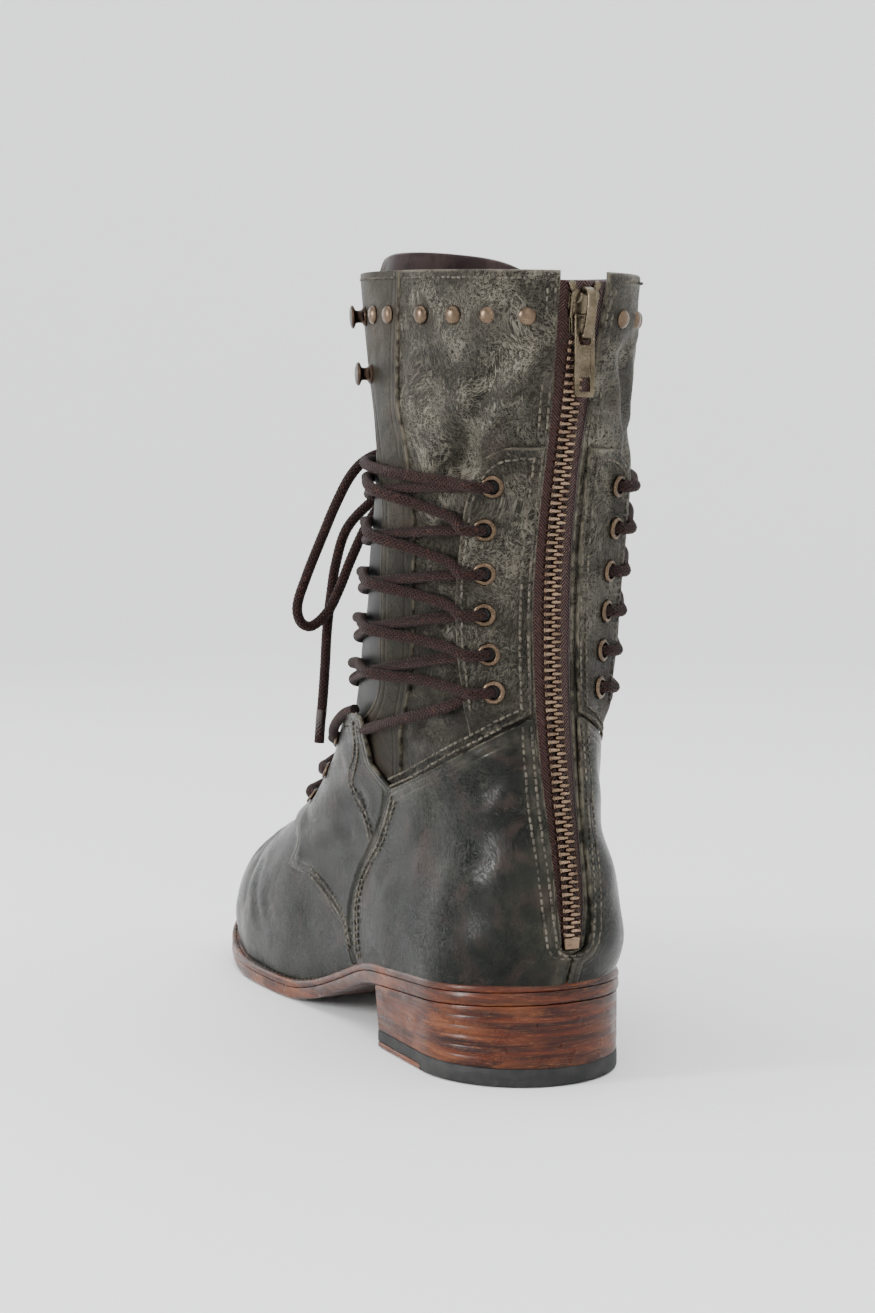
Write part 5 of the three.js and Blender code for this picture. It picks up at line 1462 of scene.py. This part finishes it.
def laces():
    """Crossings round the shaft, over the facing, and the bow."""
    upper_mesh = Mesh()
    braid = dict(sides=12, step=CORD_STEP, braid=BRAID)
    for _, side in SIDES:
        for n in range(1, len(EYELETS)):
            tube(upper_mesh, lace_line(strand(n, side), side), LACE, **braid)
        up, turn = EYELETS[0]
        top = eyelet_top(0)
        first = [(up, turn + 0.002, top - 2.2), (up, turn + 0.006, top - 0.6), (up, turn + 0.014, top + 1.5),
                 (up + 0.01, turn + 0.03, top + 2.6), (up + 0.03, turn + 0.046, top + 3.1),
                 (up + 0.07, 0.26, 2.8), (up + 0.12, 0.31, 2.3), (up + 0.18, 0.37, 2.5),
                 (up + 0.24, 0.44, 2.9), (up + 0.32, 0.52, 2.7), (up + 0.38, 0.6, 1.7), (up + 0.42, 0.7, 1.3),
                 (up + 0.43, 0.82, 1.9), (up + 0.42, 0.92, 3.6), (up + 0.41, 0.965, 4.8)]
        tube(upper_mesh, lace_line(first, side), LACE, **braid)
        up, turn = EYELETS[-1]
        low = [(up, turn + 0.01, 0.6), (up - 0.02, turn + 0.04, 1.4), (up - 0.08, turn + 0.07, 2.2),
               (up - 0.2, 0.26, 2.1), (up - 0.3, 0.33, 2.1), (up - 0.38, 0.4, 2.6), (up - 0.45, 0.46, 2.9),
               (up - 0.5, 0.5, 2.8), (up - 0.54, 0.54, 2.2)]
        tube(upper_mesh, lace_line(low, side), LACE, **braid)
    upper_mesh.piece("lace_crossings", COTTON, "lace_cotton", ["lace_upper"])
    lower_lace(braid)
    bow(braid)


def lower_lace(braid):
    """Crossings over the facing, the bar under them and the way up from them."""
    mesh = Mesh()
    for _, side in SIDES:
        for n in range(1, len(LOWER_EYELETS)):
            (up, turn), (next_up, next_turn) = LOWER_EYELETS[n], LOWER_EYELETS[n - 1]
            base = PANEL_TOP + GAP + float(front_stand(up, turn))
            away = PANEL_TOP + float(front_stand(next_up, next_turn))
            over = 2 * LACE if side > 0 else 0.0
            places = [(up, turn + 0.004, base - 1.5), (up + 0.01, turn + 0.01, base + 0.8),
                      (up + 0.04, turn + 0.03, base + 2.3), (up + 0.1, turn + 0.07, base + 2.3),
                      ((up * 2 + next_up) / 3, turn + 0.14, 3.2 + over * 0.4),
                      ((up + next_up) / 2, 1.0, 3.2 + over),
                      ((up + next_up * 2) / 3, 1.86 - next_turn, 3.2 + over * 0.4),
                      (next_up - 0.1, 1.93 - next_turn, away + 2.0),
                      (next_up - 0.04, 1.97 - next_turn, away + 2.1), (next_up, 1.99 - next_turn, away + 0.6),
                      (next_up, 1.996 - next_turn, away - 1.2)]
            tube(mesh, lace_line(places, side), LACE, **braid)
    up, turn = LOWER_EYELETS[-1]
    base = PANEL_TOP + GAP
    bar = [(up, turn + 0.004, base - 1.5), (up, turn + 0.012, base + 0.8),
           (up - 0.02, turn + 0.035, base + 2.2), (up - 0.08, turn + 0.09, base + 2.0),
           (up - 0.12, 0.93, 3.2), (up - 0.13, 1.0, 3.2), (up - 0.12, 1.07, 3.2),
           (up - 0.08, 1.91 - turn, base + 2.0), (up - 0.02, 1.965 - turn, base + 2.2),
           (up, 1.988 - turn, base + 0.8), (up, 1.996 - turn, base - 1.5)]
    tube(mesh, lace_line(bar, 1), LACE, **braid)
    for _, side in SIDES:
        up, turn = LOWER_EYELETS[0]
        base = PANEL_TOP + GAP + float(front_stand(up, turn))
        start = [(up, turn + 0.004, base - 1.5), (up + 0.02, turn - 0.004, base + 0.8),
                 (up + 0.1, turn - 0.02, base + 2.0), (up + 0.3, turn - 0.05, base + 2.0),
                 (up + 0.5, turn - 0.09, base + 0.6), (up + 0.56, turn - 0.13, 0.8)]
        tube(mesh, lace_line(start, side), LACE, **braid)
    mesh.piece("lace_facing", COTTON, "lace_cotton", ["lace_lower"])


def bow_points(route, side):
    return route * (side, -1, 1) + (0, HEEL_REAR, 0)


# Aglet, and how finely a cord is drawn
AGLET_LENGTH = 14.0
CORD_STEP = 0.8
BRAID = 0.035


def bow(braid):
    """Knot, two loops and two ends with their aglets."""
    knot = Mesh()
    centre = surface(np.array([KNOT_UP]), np.array([1.0]), KNOT_LIFT)[0]
    turn = np.linspace(0, 2 * math.pi, 25)[:-1]
    for shift, lean, wide in ((-1.9, 0.25, 1.0), (1.7, -0.2, 0.94)):
        loop = np.stack([shift + lean * 3 * np.sin(turn), 2.9 * wide * np.cos(turn),
                         3.5 * wide * np.sin(turn)], 1)
        loop = np.vstack([loop, loop[:1]])
        tube(knot, centre + loop, LACE, sides=12, step=CORD_STEP, braid=BRAID)
    core = np.array([(-5.6, 0, 0.4), (-3, 0.4, 1.0), (0, 0, 0), (3, -0.4, -1.0), (5.6, 0, -0.4)])
    tube(knot, centre + core, LACE, **braid)
    knot.piece("lace_knot_wraps", COTTON, "lace_cotton", ["lace_knot"])
    for word, side in SIDES:
        loop_points = bow_points(LOOP_ROUTE, side)
        mesh = Mesh()
        line = tube(mesh, loop_points, LACE, sides=14, step=CORD_STEP, braid=BRAID)
        loop = mesh.piece(f"lace_bow_{word}", COTTON, "lace_cotton", [f"lace_loop_{word}"])
        end_points = bow_points(END_ROUTE, side)
        mesh = Mesh()
        line = tube(mesh, end_points, LACE, sides=14, step=CORD_STEP, braid=BRAID)
        end = mesh.piece(f"lace_tail_{word}", COTTON, "lace_cotton", [f"lace_end_{word}"])
        tip = Mesh()
        sleeve = line[-int(AGLET_LENGTH / CORD_STEP):]
        tube(tip, sleeve, LACE + 0.12, sides=16, step=1.0, taper=0.12)
        aglet = tip.piece(f"lace_aglet_{word}", AGLET, "lace_cotton")


STATIONS = 130


def sole_layer(mesh, levels):
    """Closed layer of the sole. levels go from its foot to its top as (inset, height of y, last y)."""
    y = SOLE_LENGTH * (1 - np.cos(np.linspace(0, math.pi, STATIONS))) / 2
    last = min(level[2] for level in levels)
    inner = y[y < last - 0.6]
    loops = []
    for inset, height, end in levels:
        limit = end if end < SOLE_LENGTH else SOLE_LENGTH - inset
        places = np.clip(np.concatenate([inner, [end]]), inset, limit)
        along = (places - inset) / (SOLE_LENGTH - 2 * inset)
        for side in (1, -1):
            x = sole_edge(along, side, inset)
            loops.append(np.stack([x, HEEL_REAR - places, height(places) + 0 * places], 1))
    count = len(inner) + 1
    top = len(levels) - 1
    at = lambda level, side, i: (level * 2 + side) * count + i
    faces = []
    for i in range(count - 1):
        faces.append((at(0, 0, i), at(0, 0, i + 1), at(0, 1, i + 1), at(0, 1, i)))
        faces.append((at(top, 0, i), at(top, 1, i), at(top, 1, i + 1), at(top, 0, i + 1)))
        for n in range(top):
            faces.append((at(n, 0, i), at(n + 1, 0, i), at(n + 1, 0, i + 1), at(n, 0, i + 1)))
            faces.append((at(n, 1, i), at(n, 1, i + 1), at(n + 1, 1, i + 1), at(n + 1, 1, i)))
    for n in range(top):
        faces.append((at(n, 0, count - 1), at(n + 1, 0, count - 1), at(n + 1, 1, count - 1),
                      at(n, 1, count - 1)))
        faces.append((at(n, 0, 0), at(n, 1, 0), at(n + 1, 1, 0), at(n + 1, 0, 0)))
    mesh.add(np.concatenate(loops), faces)


def sole():
    """Outsole, welt, half sole, insole and the stitches of the welt."""
    full = SOLE_LENGTH
    out = Mesh()
    profile = ((1.3, 0.0), (0.55, 0.25), (0.15, 0.8), (0.0, 1.6), (0.0, 2.7), (0.12, 3.8),
               (0.4, OUTSOLE - 0.1), (0.9, OUTSOLE))
    sole_layer(out, [(inset, lambda y, h=h: underside(y) + h, full) for inset, h in profile])
    out.weld().piece("outsole_leather", STACK, "stacked_leather", ["outsole"], sharp=50)
    rand = Mesh()
    low = OUTSOLE + 0.12
    profile = ((0.8, low), (0.3, low + 0.1), (0.0, low + 0.5), (0.05, low + 1.5), (0.35, low + 2.3),
               (0.8, SOLE))
    sole_layer(rand, [(inset, lambda y, h=h: underside(y) + h, full) for inset, h in profile])
    rand.weld().piece("welt_leather", STACK, "stacked_leather", ["welt"], sharp=50)
    half = Mesh()
    start = 0.5 * SOLE_LENGTH
    half_sole(half, start)
    inner = Mesh()
    seat_in = lambda h: (lambda y: seat(y) + GAP + h)
    sole_layer(inner, [(6.8, seat_in(0), full), (6.0, seat_in(0.5), full), (6.0, seat_in(2.0), full),
                       (6.8, seat_in(2.5), full)])
    inner.weld().piece("insole_board", INSOLE, "insole_leather", ["insole"], sharp=50)
    welt_stitches()


def half_sole(mesh, start):
    """Thin rubber half sole under the forefoot, ribbed across the tread."""
    y = start + (SOLE_LENGTH - 0.4 - start) * np.sin(np.linspace(0, math.pi / 2, 120))
    share = np.concatenate([[-1, -0.985], np.linspace(-0.95, 0.95, 41), [0.985, 1]])
    along = (y - 0.4) / (SOLE_LENGTH - 0.8)
    high = np.stack([sole_edge(along, 1, 0.4), sole_edge(along, -1, 0.4)], 1)
    x = high[:, 1:2] + (high[:, 0:1] - high[:, 1:2]) * (share + 1) / 2
    edge = np.minimum(1 - np.abs(share), 0.03)[None] / 0.03
    ribbed = (np.sin(y * 2 * math.pi / 5.0)[:, None] < 0) * (np.abs(share)[None] < 0.72)
    low = underside(y)[:, None] + 0.35 * (1 - edge) + 0.25 * ribbed * smooth(start + 12, start + 16, y)[:,
                                                                                                        None]
    back = np.repeat((HEEL_REAR - y)[:, None], len(share), 1)
    roof = np.stack([x, back, np.repeat(underside(y)[:, None] + 1.25, len(share), 1)], -1)
    slab(mesh, roof, np.stack([x, back, low], -1), flip=True)
    mesh.piece("half_sole_rubber", RUBBER, "rubber", ["half_sole"], sharp=35)


def welt_stitches():
    """Stitches through the welt, close beside the upper."""
    mesh = Mesh()
    inset = 1.5
    y = inset + (SOLE_LENGTH - 2 * inset) * (1 - np.cos(np.linspace(0, math.pi, 300))) / 2
    along = (y - inset) / (SOLE_LENGTH - 2 * inset)
    random = np.random.default_rng(7)
    for side in (1, -1):
        points = np.stack([sole_edge(along, side, inset), HEEL_REAR - y, seat(y)], 1)
        normal = np.repeat([(0.0, 0.0, 1.0)], len(points), 0)
        sew(mesh, points, normal, random, pitch=3.6, thick=0.34, share=0.7, jitter=0.03)
    mesh.piece("welt_stitches", DARK_THREAD, "stacked_leather")


LIFTS = 6


def heel():
    """Stacked heel with its rubber lift and the tip at its breast."""
    stack = Mesh()
    random = np.random.default_rng(17)
    low = LIFT + 0.08
    levels = []
    for n in range(LIFTS):
        worn = random.uniform(-0.06, 0.06)
        for share, inset in ((0.01, 0.10), (0.06, 0.02), (0.5, 0.0), (0.94, 0.02), (0.99, 0.10)):
            at = (n + share) / LIFTS
            height = lambda y, at=at: low + (underside(y) - 0.1 - low) * at
            end = HEEL_LENGTH - BREAST_SLANT * (1 - at)
            levels.append((0.55 + inset + worn, height, end - inset * 0.5))
    sole_layer(stack, levels)
    stack.weld().piece("heel_stack_leather", STACK, "stacked_leather", ["heel_stack"], sharp=50)
    foot = HEEL_LENGTH - BREAST_SLANT
    tip_start = foot - LIFT_TIP_LENGTH
    lift = Mesh()
    raised = LIFT_TIP + 0.12

    def under(h):
        return lambda y: h + (raised - h * raised / LIFT) * smooth(tip_start - 0.6, tip_start + 0.2, y)

    profile = ((1.2, 0.0), (0.6, 0.25), (0.42, 0.9), (0.4, 3.2), (0.5, LIFT - 0.3), (0.8, LIFT))
    sole_layer(lift, [(inset, under(h), foot) for inset, h in profile])
    lift.weld().piece("lift_rubber", RUBBER, "rubber", ["top_lift"], sharp=50)
    tip = Mesh()
    wedge(tip, tip_start, foot)
    tip.piece("lift_tip_leather", STACK, "stacked_leather", ["lift_tip"], sharp=50)


def wedge(mesh, start, end):
    """Thin leather piece under the front of the lift."""
    y = np.linspace(start + 0.3, end, 40)
    rings = []
    for inset, z in ((0.9, 0.0), (0.5, 0.4), (0.45, LIFT_TIP - 0.3), (0.8, LIFT_TIP + 0.05)):
        along = (y - inset) / (SOLE_LENGTH - 2 * inset)
        left = np.stack([sole_edge(along, 1, inset), HEEL_REAR - y, 0 * y + z], 1)
        right = np.stack([sole_edge(along, -1, inset), HEEL_REAR - y, 0 * y + z], 1)
        rings.append(np.concatenate([left, right[::-1]]))
    count = len(rings[0])
    faces = grid_faces(len(rings), count, ring=True).tolist()
    faces += [tuple(range(count))[::-1], tuple(range((len(rings) - 1) * count, len(rings) * count))]
    mesh.add(np.concatenate(rings), [face[::-1] for face in faces])


def camera():
    """Camera as fitted to the photo."""
    pixels = max(IMAGE)
    data = bpy.data.cameras.new("camera")
    data.sensor_width = SENSOR
    data.sensor_fit = "AUTO"
    data.lens = FOCAL_PIXELS / pixels * SENSOR
    data.clip_start, data.clip_end = 0.01, 30.0
    piece = bpy.data.objects.new("camera", data)
    piece.location = [c * MM for c in CAMERA_PLACE]
    piece.rotation_euler = (math.pi / 2 - CAMERA_PITCH, 0, math.pi - CAMERA_YAW + CAMERA_TURN)
    bpy.context.scene.collection.objects.link(piece)
    bpy.context.scene.camera = piece


def soft_light(name, place, target, size, power):
    """Rectangular lamp turned to a target."""
    data = bpy.data.lights.new(name, "AREA")
    data.shape, data.size, data.size_y = "RECTANGLE", size[0], size[1]
    data.energy = power
    lamp = bpy.data.objects.new(name, data)
    lamp.location = place
    lamp.rotation_euler = (Vector(target) - Vector(place)).to_track_quat("-Z", "Y").to_euler()
    bpy.context.scene.collection.objects.link(lamp)


def stage():
    """Pale floor that curves up into a wall, and soft light from both sides and above."""
    f = Finish("stage_paper", roughness=0.9, specular=0.1)
    f.colour(f.mix(f.noise(2.0, 2.0), (0.90, 0.905, 0.905), (0.92, 0.925, 0.925)))
    curve = [(1.9 + 0.8 * math.sin(a), 0.8 - 0.8 * math.cos(a)) for a in np.linspace(0, math.pi / 2, 14)]
    rows = [(0.002, 0.0), (0.5, 0.0)] + curve + [(2.7, 4.0)]
    turns = np.linspace(0, 2 * math.pi, 96, endpoint=False)
    points = [(far * math.cos(a), far * math.sin(a), height - 0.0002) for far, height in rows for a in turns]
    faces = grid_faces(len(rows), len(turns), ring=True).tolist()
    mesh = bpy.data.meshes.new("floor")
    mesh.from_pydata(points, [], faces)
    mesh.materials.append(f.material)
    mesh.shade_smooth()
    floor = bpy.data.objects.new("floor", mesh)
    bpy.context.scene.collection.objects.link(floor)
    world = bpy.data.worlds.new("studio")
    world.use_nodes = True
    world.node_tree.nodes["Background"].inputs[0].default_value = (0.95, 0.97, 1.0, 1)
    world.node_tree.nodes["Background"].inputs[1].default_value = 0.10
    bpy.context.scene.world = world
    soft_light("key", (1.40, -0.05, 0.50), (0, 0, 0.13), (0.26, 0.50), 20.0)
    soft_light("rim", (0.50, -1.30, 0.45), (0, 0, 0.15), (0.35, 0.6), 2.5)
    soft_light("camera_side", (0.55, 1.45, 0.80), (0, 0, 0.17), (0.6, 0.6), 4.5)
    soft_light("fill", (-1.20, 0.70, 0.55), (0, 0, 0.15), (0.5, 1.0), 2.0)
    soft_light("top", (0.0, 0.0, 2.6), (0, 0, 0), (3.4, 3.4), 110.0)


camera()
laces()
upper()
panels()
tongue()
stitches()
zip_parts()
fittings()
sole()
heel()
stage()
